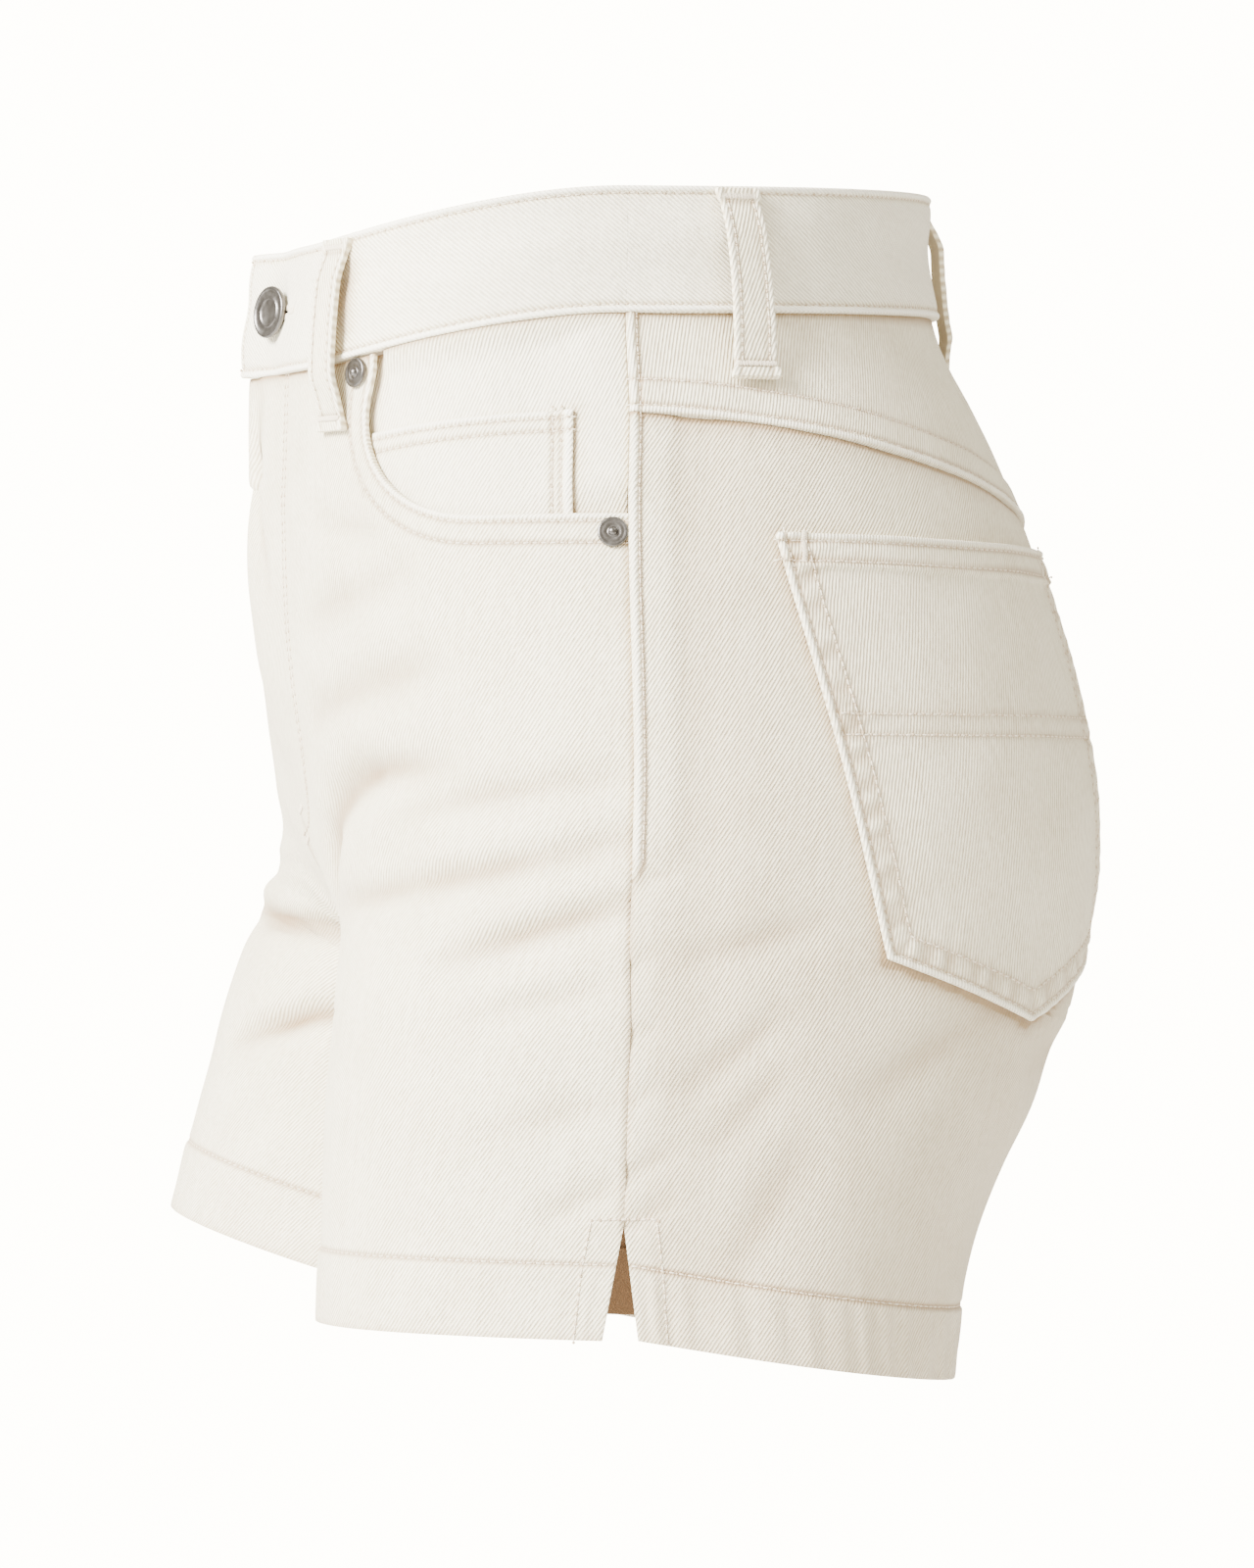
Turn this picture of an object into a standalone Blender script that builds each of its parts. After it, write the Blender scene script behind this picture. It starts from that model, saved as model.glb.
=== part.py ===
"""High-waisted five-pocket denim shorts, worn and hollow, as closed cloth solids.

The wearer faces -Y, the wearer's left is +X, up is +Z and the origin is at the middle of the waist.
Lengths are in millimetres, and become metres where a mesh is made. Each half of the garment is read
from one surface, the outer face of its plain cloth: a point lies at a share `across` a face (0 at
the side seam, 1 at the centre seam or, below the crotch, at the inseam), at a height, and may be
lifted off the surface along its normal. Every piece of cloth is a grid of such points.
"""

import math
from collections import namedtuple

import bmesh
import bpy
import numpy as np
from mathutils import Vector

OBJECT_NAME = "worn_denim_shorts"
METRES = 0.001  # in a millimetre

# Cloth and gaps
CLOTH = 1.4  # wall of one layer of heavy twill
PLY = 0.9  # what a turned or second layer adds to it
SEAM = 0.3  # gap between two pieces that are sewn together
LAYER_GAP = 0.6  # gap between a piece and the panel that it lies on

# Waistband and fly
BAND_HEIGHT = 40.0
BAND_PROUD = 1.2  # its outer face stands this far off the panels'
BAND_TOP = {"side": 22.0, "front": 7.0, "back": 27.0}
BAND_DIP_SHARE = 0.70  # of the front, over which the top edge falls
UNDERLAP = 33.0  # the right end of the band under the left
UNDERLAP_LIFT, UNDERLAP_SINK, UNDERLAP_RUN = 2.0, 3.4, 22.0
BAND_LAP_LIFT, BAND_LAP_RUN = 7.4, 26.0  # how far its left end flares, over what length
FLY_LIFT, FLY_UNDER_LIFT, FLY_RUN = 6.2, 2.6, 40.0
FLY_BOTTOM, FLY_FADE = -190.0, 100.0
FLY_UNDERLAP, FLY_UNDERLAP_END, FLY_UNDERLAP_FADE = 14.0, -140.0, 25.0
FLY_UNDERLAP_SINK, FLY_UNDERLAP_RUN = 1.4, 6.0

# Yoke, hems and seams
YOKE_SIDE, YOKE_DROP = -50.0, 36.0
FELL_WIDTH, FELL_FADE = 10.5, 2.0  # a lapped seam and its ridge
SEAT_RIDGE_END = -208.0
SIDE_RIDGE, SIDE_RIDGE_WIDTH, SIDE_RIDGE_FADE, SIDE_RIDGE_END = 0.7, 3.4, 1.0, -190.0
HEM_SIDE, HEM_INSEAM = -335.0, -340.0
HEM_FRONT_RISE = {+1: 2.0, -1: 0.5}
HEM_BACK_DROP = {+1: 16.0, -1: 2.0}
HEM_SWUNG_DIP, HEM_DIP_POWER = 9.5, 2.5  # of the swung leg's front, on its inner half
HEM_DEPTH, HEM_STEP, HEM_SHOWS = 23.0, 1.5, 0.5
SLIT_TOP, SLIT_HALF_WIDTH = -300.0, 5.5

# Front pocket mouth, in shares of the front and heights
MOUTH_TOP_ACROSS, MOUTH_ACROSS = 0.465, 0.485
MOUTH_TURN = -50.0  # where its upright edge starts to turn
MOUTH_FLOOR = -81.5
MOUTH_CORNER_ACROSS = 0.232
FACING_DEPTH = {+1: 3.5, -1: 2.0}  # of its outer face, deeper under the coin pocket
FACING_REACH_ACROSS, FACING_BOTTOM = 0.60, -104.0
FACING_EDGE, FACING_RISE, FACING_SIDE_ACROSS = 2.5, 9.5, 0.16  # where it rises inside the mouth
FACING_CLOTH, COIN_CLOTH, POCKET_CLOTH = 1.2, 1.0, 1.3
COIN_TOP_SIDE, COIN_TOP_FRONT = -48.5, -55.0
COIN_SIDE, COIN_WIDTH, COIN_BOTTOM = 17.5, 78.0, -97.0

# Back pocket, in millimetres from the side seam and heights
POCKET_TOP_OUTER, POCKET_TOP_INNER = (46.0, -88.0), (184.0, -91.0)
POCKET_LOW_OUTER, POCKET_LOW_INNER = (81.0, -219.0), (195.0, -217.0)
POCKET_POINT_DROP = 21.0
POCKET_HEM = 11.0

# Belt loops
LOOP_WIDTH, LOOP_THICK = 12.5, 2.4
LOOP_STAND, BACK_LOOP_STAND = 3.0, 5.6
LOOP_BELOW_TOP, LOOP_BELOW_BAND, LOOP_LEAVES_BAND = 1.0, 22.0, 5.0
LOOP_RUNS = (0.0, 0.05, 0.10, 0.17, 0.27, 0.4, 0.55, 0.68, 0.78, 0.86, 0.92, 1.0)
LOOP_RISE, LOOP_FOOT = 0.25, 0.97  # shares of its length
LOOP_BOW = {"front": 0.0, "side": 3.2, "back": 0.0}  # how far back the strip bows on its way down
LOOP_BOW_TURN = 0.85 * math.pi
FRONT_LOOP_FROM_CENTRE, SIDE_LOOP_FROM_SEAM = 76.0, 35.0

# Metal
BUTTON_FROM_END, BUTTON_GAP = 22.5, 0.9
BUTTON_LEAN_REACH = 4.0  # to each side of it, the band's slope gives its lean
RIVET_PLACES = {"upper": (0.508, -35.5), "lower": (0.024, -87.5)}  # share across, height
Turn = namedtuple("Turn", "radius height")
BUTTON_PROFILE = (
    Turn(0.0, 3.2), Turn(4.6, 3.2), Turn(5.0, 3.6), Turn(7.7, 3.6), Turn(8.5, 3.0),
    Turn(8.5, 2.1), Turn(7.8, 1.5), Turn(3.6, 1.2), Turn(3.4, 0.0), Turn(0.0, 0.0),
)
RIVET_PROFILE = (
    Turn(0.0, 2.2), Turn(1.2, 2.0), Turn(1.6, 1.2), Turn(2.4, 0.9), Turn(3.9, 1.1),
    Turn(4.8, 0.7), Turn(4.8, 0.0), Turn(0.0, 0.0),
)

Section = namedtuple(
    "Section", "height side front back front_axis back_axis middle seam front_roundness"
)
# Half widths and depths of the body of cloth. The axes are where each half's curve turns inwards,
# the middle is the depth of its widest line, the seam that of the side seam, and the roundness the
# exponent of the front's outer curve: 2 is an ellipse, and more is flatter before the belly.
SECTIONS = (
    Section(-380, 180, 116, 84, 94, 94, 12, -34, 2.15),
    Section(-335, 179, 115, 88, 94, 94, 12, -33, 2.15),
    Section(-310, 178, 114, 93, 94, 94, 12, -32, 2.15),
    Section(-285, 177, 113, 103, 94, 94, 12, -31, 2.15),
    Section(-260, 176, 112, 118, 93, 93, 12, -30, 2.15),
    Section(-238, 175, 109, 126, 90, 90, 12, -29, 2.15),
    Section(-215, 174, 105, 131, 76, 84, 12, -29, 2.15),
    Section(-190, 173, 106, 137, 58, 74, 12, -28, 2.15),
    Section(-165, 171, 110, 139, 38, 62, 11, -27, 2.15),
    Section(-130, 166, 117, 136, 16, 42, 6, -27, 2.2),
    Section(-100, 159, 119.5, 130, 6, 26, 1, -27, 2.3),
    Section(-75, 151, 120, 123, 2, 14, -3, -26, 2.4),
    Section(-50, 141, 119.5, 114, 0, 6, -7, -24, 2.5),
    Section(-20, 128, 118, 100, 0, 0, -12, -23, 2.6),
    Section(0, 124, 116, 97, 0, 0, -12, -22, 2.6),
    Section(25, 121, 114.5, 96, 0, 0, -12, -21, 2.6),
    Section(60, 119, 113, 93, 0, 0, -12, -20, 2.6),
)
CROTCH = -238.0
Pinch = namedtuple("Pinch", "start power")
PINCHES = {"front": Pinch(-180.0, 0.9), "back": Pinch(-120.0, 1.7)}
INSEAM_GAP, INSEAM_SPREAD = 0.15, 0.08
BACK_ROUNDNESS = 2.15

# The right leg is swung forward about a line through the hips.
Swing = namedtuple("Swing", "degrees depth height start run")
SWINGS = {+1: None, -1: Swing(12.5, 10.0, -212.0, -165.0, 70.0)}
SWING_INNER_RUN, SWING_CROTCH_RUN = 45.0, 60.0

Fold = namedtuple("Fold", "side face across height to_across to_height width depth")
# The largest folds: soft troughs (negative depth) and ridges, from one end to the other.
FOLDS = (
    Fold(-1, "front", 0.30, -192, 0.94, -206, 13, 3.0),
    Fold(-1, "front", 0.34, -222, 0.84, -246, 14, 3.0),
    Fold(+1, "front", 0.28, -180, 0.86, -206, 16, -2.0),
    Fold(+1, "front", 0.20, -232, 0.72, -200, 16, 1.5),
    Fold(+1, "back", 0.30, -266, 0.80, -240, 16, -2.0),
    Fold(-1, "back", 0.30, -258, 0.80, -238, 16, -2.0),
)

RING_SAMPLES = 60  # on each quarter of a half ring
TABLE_STEP = 4.0  # heights between the rings of the surface's table
TABLE_ACROSS = 96
DENIM = (0.86, 0.84, 0.78)
NICKEL = (0.45, 0.43, 0.41)


def ease(share):
    """0 to 1 with level ends."""
    share = np.clip(share, 0.0, 1.0)
    return share * share * (3.0 - 2.0 * share)


def column(name, height):
    """A column of SECTIONS at any height, on a smooth curve through its rows."""
    heights = np.array([section.height for section in SECTIONS], float)
    values = np.array([getattr(section, name) for section in SECTIONS], float)
    steps = np.diff(heights)
    slopes = np.diff(values) / steps
    tangents = np.concatenate([
        slopes[:1],
        (slopes[:-1] * steps[1:] + slopes[1:] * steps[:-1]) / (steps[1:] + steps[:-1]),
        slopes[-1:],
    ])
    row = np.clip(np.searchsorted(heights, height) - 1, 0, len(steps) - 1)
    t = (height - heights[row]) / steps[row]
    start = values[row] * (1 + 2 * t) + tangents[row] * steps[row] * t
    end = values[row + 1] * (3 - 2 * t) - tangents[row + 1] * steps[row] * (1 - t)
    return start * (1 - t) ** 2 + end * t ** 2


def quarter_curves(height, face):
    """x and y of one face's half ring at each height, from the widest point to the centre or inseam."""
    height = height[:, None]
    sign = -1.0 if face == "front" else 1.0
    axis = column(face + "_axis", height)
    middle = column("middle", height)
    depth = column(face, height) - sign * middle
    turn = np.linspace(0.0, math.pi / 2, RING_SAMPLES)[None]
    power = 2.0 / (column("front_roundness", height) if face == "front" else BACK_ROUNDNESS)
    outer_x = axis + (column("side", height) - axis) * np.abs(np.cos(turn)) ** power
    outer_y = middle + sign * depth * np.abs(np.sin(turn)) ** power
    pinch = PINCHES[face]
    pinched = np.clip((pinch.start - height) / (pinch.start - CROTCH), 0.0, 1.0) ** pinch.power
    inner_end = np.where(height < CROTCH, INSEAM_GAP + (CROTCH - height) * INSEAM_SPREAD, 0.0)
    inner_x = axis - (axis - inner_end) * np.sin(turn)
    inner_y = middle + sign * depth * np.sqrt(1.0 - (pinched * np.sin(turn)) ** 2)
    x = np.concatenate([outer_x, inner_x[:, 1:]], axis=1)
    y = np.concatenate([outer_y, inner_y[:, 1:]], axis=1)
    return np.stack([x, y], axis=-1)


def run_lengths(points):
    """Length along each row of points, from its start."""
    steps = np.linalg.norm(np.diff(points, axis=1), axis=2)
    return np.concatenate([np.zeros((len(points), 1)), np.cumsum(steps, axis=1)], axis=1)


def face_rows(heights, face):
    """Points at even shares across one face of the left half, and the face's length at each height."""
    front, back = quarter_curves(heights, "front"), quarter_curves(heights, "back")
    ring = np.concatenate([front[:, ::-1], back[:, 1:]], axis=1)
    runs = run_lengths(ring)
    widest = front.shape[1] - 1
    near_side = slice(widest - RING_SAMPLES // 2, widest + RING_SAMPLES // 2)
    shares = np.linspace(0.0, 1.0, TABLE_ACROSS + 1)
    rows, lengths = [], []
    for height, points, run in zip(heights, ring, runs):
        seam = np.interp(column("seam", np.array([height]))[0], points[near_side, 1], run[near_side])
        length = seam if face == "front" else run[-1] - seam
        places = seam + (-shares if face == "front" else shares) * length
        x, y = (np.interp(places, run, points[:, k]) for k in (0, 1))
        rows.append(np.stack([x, y, np.full_like(x, height)], axis=-1))
        lengths.append(length)
    return np.array(rows), np.array(lengths)


def swung(points, side):
    """The points of the left half's table, put on their side and swung with that side's leg."""
    points = points * np.array([side, 1.0, 1.0])
    swing = SWINGS[side]
    if swing is None:
        return points
    x, y, z = np.abs(points[..., 0]), points[..., 1], points[..., 2]
    outer = ease(x / SWING_INNER_RUN)
    below_crotch = ease((CROTCH - z) / SWING_CROTCH_RUN)
    share = ease((swing.start - z) / swing.run) * (1 - (1 - outer) * (1 - below_crotch))
    angle = math.radians(swing.degrees) * share
    forward, up = y - swing.depth, z - swing.height
    y = swing.depth + forward * np.cos(angle) + up * np.sin(angle)
    z = swing.height - forward * np.sin(angle) + up * np.cos(angle)
    return np.stack([points[..., 0], y, z], axis=-1)


def normals_of(points, side, face):
    """Outward normals of a table of points."""
    normals = np.cross(np.gradient(points, axis=1), np.gradient(points, axis=0))
    normals *= side if face == "back" else -side
    return normals / np.linalg.norm(normals, axis=-1, keepdims=True)


def fold_depths(side, face, heights, lengths):
    """How far the folds move each point of a face's table along its normal."""
    across = np.linspace(0.0, 1.0, TABLE_ACROSS + 1)[None]
    reach = np.median(lengths)
    moved = np.zeros((len(heights), TABLE_ACROSS + 1))
    for fold in FOLDS:
        if (fold.side, fold.face) != (side, face):
            continue
        start = np.array([fold.across * reach, fold.height])
        line = np.array([fold.to_across * reach, fold.to_height]) - start
        run = np.linalg.norm(line)
        offset = np.stack(np.broadcast_arrays(across * reach, heights[:, None]), -1) - start
        along = offset @ line / run ** 2
        beside = (offset[..., 0] * line[1] - offset[..., 1] * line[0]) / run
        taper = ease(along / 0.35) * ease((1 - along) / 0.35)
        moved += fold.depth * taper * np.exp(-((beside / fold.width) ** 2))
    return moved


def make_table(side, face):
    """The surface of one face of one half: points, normals and lengths on a fine grid."""
    heights = np.arange(SECTIONS[0].height, SECTIONS[-1].height + TABLE_STEP, TABLE_STEP)
    rows, lengths = face_rows(heights, face)
    points = swung(rows, side)
    moved = fold_depths(side, face, heights, lengths)
    points = points + moved[..., None] * normals_of(points, side, face)
    return points, normals_of(points, side, face), lengths


TABLES = {(side, face): make_table(side, face) for side in (+1, -1) for face in ("front", "back")}


def length_across(face, height):
    """Length of a face from the side seam to the centre seam or inseam at a height."""
    lengths = TABLES[+1, face][2]
    return np.interp(height, SECTIONS[0].height + TABLE_STEP * np.arange(len(lengths)), lengths)


def spot(side, face, across, height, lift=0.0):
    """Points of the garment, lifted off its surface. A share over 1 reads the other half."""
    across, height, lift = (np.asarray(value, float) for value in (across, height, lift))
    across, height, lift = np.broadcast_arrays(across, height, lift)
    if np.any(across > 1.0):
        other = spot(-side, face, np.clip(2.0 - across, 0.0, 1.0), height, lift)
        own = spot(side, face, np.clip(across, 0.0, 1.0), height, lift)
        return np.where((across > 1.0)[..., None], other, own)
    points, normals, _ = TABLES[side, face]
    row = np.clip((height - SECTIONS[0].height) / TABLE_STEP, 0, len(points) - 1.001)
    place = np.clip(across * TABLE_ACROSS, 0, TABLE_ACROSS - 0.0001)
    i, j = row.astype(int), place.astype(int)
    u, v = (row - i)[..., None], (place - j)[..., None]

    def between(table):
        low = table[i, j] * (1 - v) + table[i, j + 1] * v
        return low * (1 - u) + (table[i + 1, j] * (1 - v) + table[i + 1, j + 1] * v) * u

    return between(points) + between(normals) * lift[..., None]


# Edges of the pieces


def band_top(face, across):
    share = across / BAND_DIP_SHARE if face == "front" else across
    return BAND_TOP["side"] + (BAND_TOP[face] - BAND_TOP["side"]) * ease(share)


def band_bottom(face, across):
    return band_top(face, across) - BAND_HEIGHT


def yoke_line(across):
    return YOKE_SIDE - YOKE_DROP * ease(0.95 * across)


def hem_line(side, face, across):
    rise = HEM_FRONT_RISE[side] if face == "front" else -HEM_BACK_DROP[side]
    line = HEM_SIDE + (HEM_INSEAM - HEM_SIDE) * across ** 2 + rise * np.sin(math.pi * across)
    swung_front = side < 0 and face == "front"
    return line - HEM_SWUNG_DIP * np.sin(math.pi * across ** HEM_DIP_POWER) * swung_front


def side_edge(face, height):
    """Where a piece starts beside the side seam, and beside the slit at its foot."""
    slit = SLIT_HALF_WIDTH * np.clip((SLIT_TOP - height) / (SLIT_TOP - HEM_SIDE), 0, None)
    return (SEAM / 2 + slit) / length_across(face, height)


def centre_edge(face, height):
    return 1.0 - SEAM / 2 / length_across(face, height)


def mouth_across(height):
    """The upright edge of the front pocket's mouth."""
    share = ease((height - MOUTH_TURN) / (BAND_TOP["front"] - BAND_HEIGHT - MOUTH_TURN))
    return MOUTH_ACROSS + (MOUTH_TOP_ACROSS - MOUTH_ACROSS) * share


def mouth_floor(across):
    """The lower edge of the mouth: an elliptical corner, then level to the side seam."""
    inward = np.clip(1.0 - (MOUTH_ACROSS - across) / MOUTH_CORNER_ACROSS, 0.0, 1.0)
    return MOUTH_TURN - (MOUTH_TURN - MOUTH_FLOOR) * np.sqrt(1.0 - inward ** 2)


# Lifts of the pieces


def fly_lift(side, across, height):
    """The left front laps over the right one, and both stand off the body beside the centre."""
    most = FLY_LIFT if side > 0 else FLY_UNDER_LIFT
    from_centre = (1.0 - across) * length_across("front", height)
    share = (1 - ease(from_centre / FLY_RUN)) * ease((height - FLY_BOTTOM) / FLY_FADE)
    return most * share - FLY_UNDERLAP_SINK * ease(-from_centre / FLY_UNDERLAP_RUN)


def turned(side, face, across, height):
    """1 over the turned hem and 0 above it."""
    return ease((hem_line(side, face, across) + HEM_DEPTH - height) / HEM_STEP)


def hem_lift(side, face, across, height):
    """Of the outer face, which the turned hem pushes out a little."""
    return HEM_SHOWS * turned(side, face, across, height)


def hem_ply(side, face, across, height):
    """What the turned hem adds to the wall, inside."""
    return PLY * turned(side, face, across, height)


def side_ridge(face, across, height):
    """Seam allowances pressed to the back, as far down as they are stitched."""
    from_seam = across * length_across(face, height)
    ridge = 1 - ease((from_seam - SIDE_RIDGE_WIDTH) / SIDE_RIDGE_FADE)
    return SIDE_RIDGE * ridge * (height > SIDE_RIDGE_END)


def seat_ridge(side, face, across, height):
    """The left half laps over the right at the centre back."""
    from_centre = (1.0 - across) * length_across(face, height)
    lapped = (side > 0) & (height > SEAT_RIDGE_END)
    return PLY * (1 - ease((from_centre - FELL_WIDTH) / FELL_FADE)) * lapped


# Meshes


def slab(outer, inner, cells=None):
    """Vertices and faces of the closed solid between two grids, with a rim round its cells."""
    rows, columns = outer.shape[0] - 1, outer.shape[1] - 1
    cells = np.ones((rows, columns), bool) if cells is None else cells
    vertices = np.concatenate([outer.reshape(-1, 3), inner.reshape(-1, 3)])
    under = outer.shape[0] * outer.shape[1]

    def kept(i, j):
        return 0 <= i < rows and 0 <= j < columns and cells[i, j]

    faces = []
    for i in range(rows):
        for j in range(columns):
            if not cells[i, j]:
                continue
            low = i * (columns + 1) + j
            high = low + columns + 1
            faces.append((low, low + 1, high + 1, high))
            faces.append(tuple(under + v for v in (low, high, high + 1, low + 1)))
            sides = (
                (i - 1, j, low, low + 1),
                (i + 1, j, high + 1, high),
                (i, j - 1, high, low),
                (i, j + 1, low + 1, high + 1),
            )
            for near_i, near_j, a, b in sides:
                if not kept(near_i, near_j):
                    faces.append((b, a, a + under, b + under))
    return vertices, faces


def material(name, colour, roughness, metallic=0.0):
    made = bpy.data.materials.new(name)
    made.use_nodes = True
    shader = made.node_tree.nodes["Principled BSDF"]
    shader.inputs["Base Color"].default_value = (*colour, 1.0)
    shader.inputs["Roughness"].default_value = roughness
    shader.inputs["Metallic"].default_value = metallic
    return made


def add_cloth(name, vertices, faces):
    """A closed cloth object, its faces turned outwards."""
    mesh = bpy.data.meshes.new(name)
    mesh.from_pydata((vertices * METRES).tolist(), [], faces)
    shape = bmesh.new()
    shape.from_mesh(mesh)
    loose = [vertex for vertex in shape.verts if not vertex.link_faces]
    bmesh.ops.delete(shape, geom=loose, context="VERTS")
    bmesh.ops.recalc_face_normals(shape, faces=shape.faces)
    shape.to_mesh(mesh)
    shape.free()
    mesh.shade_smooth()
    mesh.set_sharp_from_angle(angle=math.radians(35))
    mesh.materials.append(material(name + "_twill", DENIM, 0.9))
    made = bpy.data.objects.new(name, mesh)
    bpy.data.collections[OBJECT_NAME].objects.link(made)
    return made


def add_turned(name, profile, steps, seat, normal):
    """A turned metal piece: a profile of (radius, height) from top to foot, standing on its seat."""
    mesh = bpy.data.meshes.new(name)
    points = [(radius * METRES, 0.0, height * METRES) for radius, height in profile]
    mesh.from_pydata(points, [(k, k + 1) for k in range(len(points) - 1)], [])
    mesh.materials.append(material(name + "_nickel", NICKEL, 0.35, 1.0))
    made = bpy.data.objects.new(name, mesh)
    bpy.data.collections[OBJECT_NAME].objects.link(made)
    screw = made.modifiers.new("Screw", "SCREW")
    screw.axis = "Z"
    screw.steps = screw.render_steps = steps
    screw.use_merge_vertices = True
    screw.merge_threshold = 0.00001
    screw.use_smooth_shade = True
    made.location = Vector(seat * METRES)
    made.rotation_mode = "QUATERNION"
    made.rotation_quaternion = Vector(normal).to_track_quat("Z", "Y")
    return made


# Pieces


def side_name(side):
    return "left" if side > 0 else "right"


def lower_rows(side, face, across, start, start_height, fixed):
    """Heights of a panel's rows: from its upper edge to the first fixed height, on down to the hem."""
    upper = [start + (fixed[0] - start) * share for share in start_height]
    middle = [np.full_like(across, height) for height in fixed]
    hem = hem_line(side, face, across)
    foot = [hem + HEM_DEPTH, hem + HEM_DEPTH - HEM_STEP, hem + HEM_DEPTH / 2, hem]
    return upper + middle + foot


BACK_ROWS = (-125, -145, -165, -182, -198, -211, -222, -231, -238, -246, -258, -272, -286, -300)
FRONT_ROWS = (-122, -142, -162, -180, -195, -208, -220, -230, -238, -246, -258, -272, -286, -300)


BACK_RIDGE_SHARES, YOKE_RIDGE_SHARES = (0.0, 0.012, 0.018), (0.0, 0.016, 0.022)


def across_grid(face, heights, shares, far_edge):
    """Shares across a face for a grid of heights, between the side edge and a far edge."""
    near = side_edge(face, heights)
    return near + (far_edge - near) * shares[None]


def back_panel(side):
    shares = np.concatenate([BACK_RIDGE_SHARES, np.linspace(0.07, 1.0, 17)])
    rows = lower_rows(side, "back", shares, yoke_line(shares) - SEAM, (0.0, 0.35, 0.7), BACK_ROWS)
    heights = np.stack(rows)
    across = across_grid("back", heights, shares, centre_edge("back", heights))
    lift = hem_lift(side, "back", across, heights) + side_ridge("back", across, heights)
    lift = lift + seat_ridge(side, "back", across, heights)
    outer = spot(side, "back", across, heights, lift)
    inner = spot(side, "back", across, heights, -CLOTH - hem_ply(side, "back", across, heights))
    add_cloth("back_" + side_name(side), *slab(outer, inner))


def yoke(side):
    shares = np.concatenate([YOKE_RIDGE_SHARES, np.linspace(0.08, 1.0, 15)])
    top = band_bottom("back", shares) - SEAM
    foot = yoke_line(shares)
    ridge_top = foot + FELL_WIDTH + FELL_FADE
    rows = [ridge_top + (top - ridge_top) * share for share in (1.0, 0.75, 0.5, 0.25, 0.0)]
    rows += [foot + FELL_WIDTH, foot]
    heights = np.stack(rows)
    across = across_grid("back", heights, shares, centre_edge("back", heights))
    lapped = PLY * ease((yoke_line(across) + FELL_WIDTH + FELL_FADE - heights) / FELL_FADE)
    ridge = side_ridge("back", across, heights) + seat_ridge(side, "back", across, heights)
    outer = spot(side, "back", across, heights, np.maximum(lapped, ridge))
    inner = spot(side, "back", across, heights, -CLOTH)
    add_cloth("yoke_" + side_name(side), *slab(outer, inner))


def front_centre_edge(side, height):
    """The centre edge of a front: the left one ends at the centre, the right one runs on under it."""
    if side > 0:
        return centre_edge("front", height)
    under = FLY_UNDERLAP * ease((height - FLY_UNDERLAP_END) / FLY_UNDERLAP_FADE)
    return 1.0 + (under - SEAM / 2) / length_across("front", height)


def front_panel(side):
    """A grid from the side seam to the centre, with the cells over the pocket's mouth left out."""
    corner = np.linspace(0.0, math.pi / 2, 7)
    under_mouth = MOUTH_ACROSS - MOUTH_CORNER_ACROSS * (1 - np.cos(corner))
    level = np.linspace(0.0, MOUTH_ACROSS - MOUTH_CORNER_ACROSS, 5)[:-1]
    beside_mouth = np.linspace(MOUTH_ACROSS, 1.0, 10)[1:]
    columns = np.concatenate([level, under_mouth[::-1], beside_mouth])
    mouth_column = len(level) + len(under_mouth) - 1
    over_mouth = 2  # rows above the height where the mouth turns
    turn = np.where(columns < MOUTH_ACROSS, mouth_floor(columns), MOUTH_TURN)
    top = band_bottom("front", columns) - SEAM
    rows = [top + (turn - top) * share for share in np.arange(over_mouth) / over_mouth]
    rows += lower_rows(side, "front", columns, turn, (0.0, 0.2, 0.45, 0.72), FRONT_ROWS)
    heights = np.stack(rows)
    across = np.empty_like(heights)
    for i, row in enumerate(heights):
        edge = mouth_across(row) if i < over_mouth else np.full_like(row, MOUTH_ACROSS)
        centre = front_centre_edge(side, row)
        beside = edge + (centre - edge) * (columns - MOUTH_ACROSS) / (1 - MOUTH_ACROSS)
        start = side_edge("front", row)
        below = start + (edge - start) * columns / MOUTH_ACROSS
        across[i] = np.where(columns < MOUTH_ACROSS, below, beside)
    own = np.minimum(across, 1.0)
    fly = fly_lift(side, across, heights)
    lift = fly + hem_lift(side, "front", own, heights)
    inner = fly - CLOTH - hem_ply(side, "front", own, heights)
    cells = np.ones((heights.shape[0] - 1, heights.shape[1] - 1), bool)
    cells[:over_mouth, :mouth_column] = False
    outer = spot(side, "front", across, heights, lift)
    slab_of = slab(outer, spot(side, "front", across, heights, inner), cells)
    add_cloth("front_" + side_name(side), *slab_of)


def facing_depth(side, across, height):
    """Depth of the facing's outer face: deep under the front's edges and level with the back at the
    side seam and with the front below the waistband."""
    inside_upright = (mouth_across(height) - across) * length_across("front", height)
    inside_floor = height - mouth_floor(np.minimum(across, MOUTH_ACROSS))
    below_band = band_bottom("front", across) - height
    inside = ease((np.minimum(inside_upright, inside_floor) - FACING_EDGE) / FACING_RISE)
    by_seam = inside * ease((FACING_SIDE_ACROSS - across) / FACING_SIDE_ACROSS)
    by_band = inside * ease((FACING_RISE - below_band) / FACING_RISE)
    return FACING_DEPTH[side] * (1 - np.maximum(by_seam, by_band))


def pocket_facing(side):
    columns = np.linspace(0.0, 1.0, 14)
    top = band_bottom("front", columns * FACING_REACH_ACROSS) - SEAM
    heights = np.stack([top + (FACING_BOTTOM - top) * share for share in np.linspace(0, 1, 9)])
    across = across_grid("front", heights, columns, FACING_REACH_ACROSS)
    depth = facing_depth(side, across, heights)
    outer = spot(side, "front", across, heights, -depth)
    inner = spot(side, "front", across, heights, -depth - FACING_CLOTH)
    add_cloth("pocket_facing_" + side_name(side), *slab(outer, inner))


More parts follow.
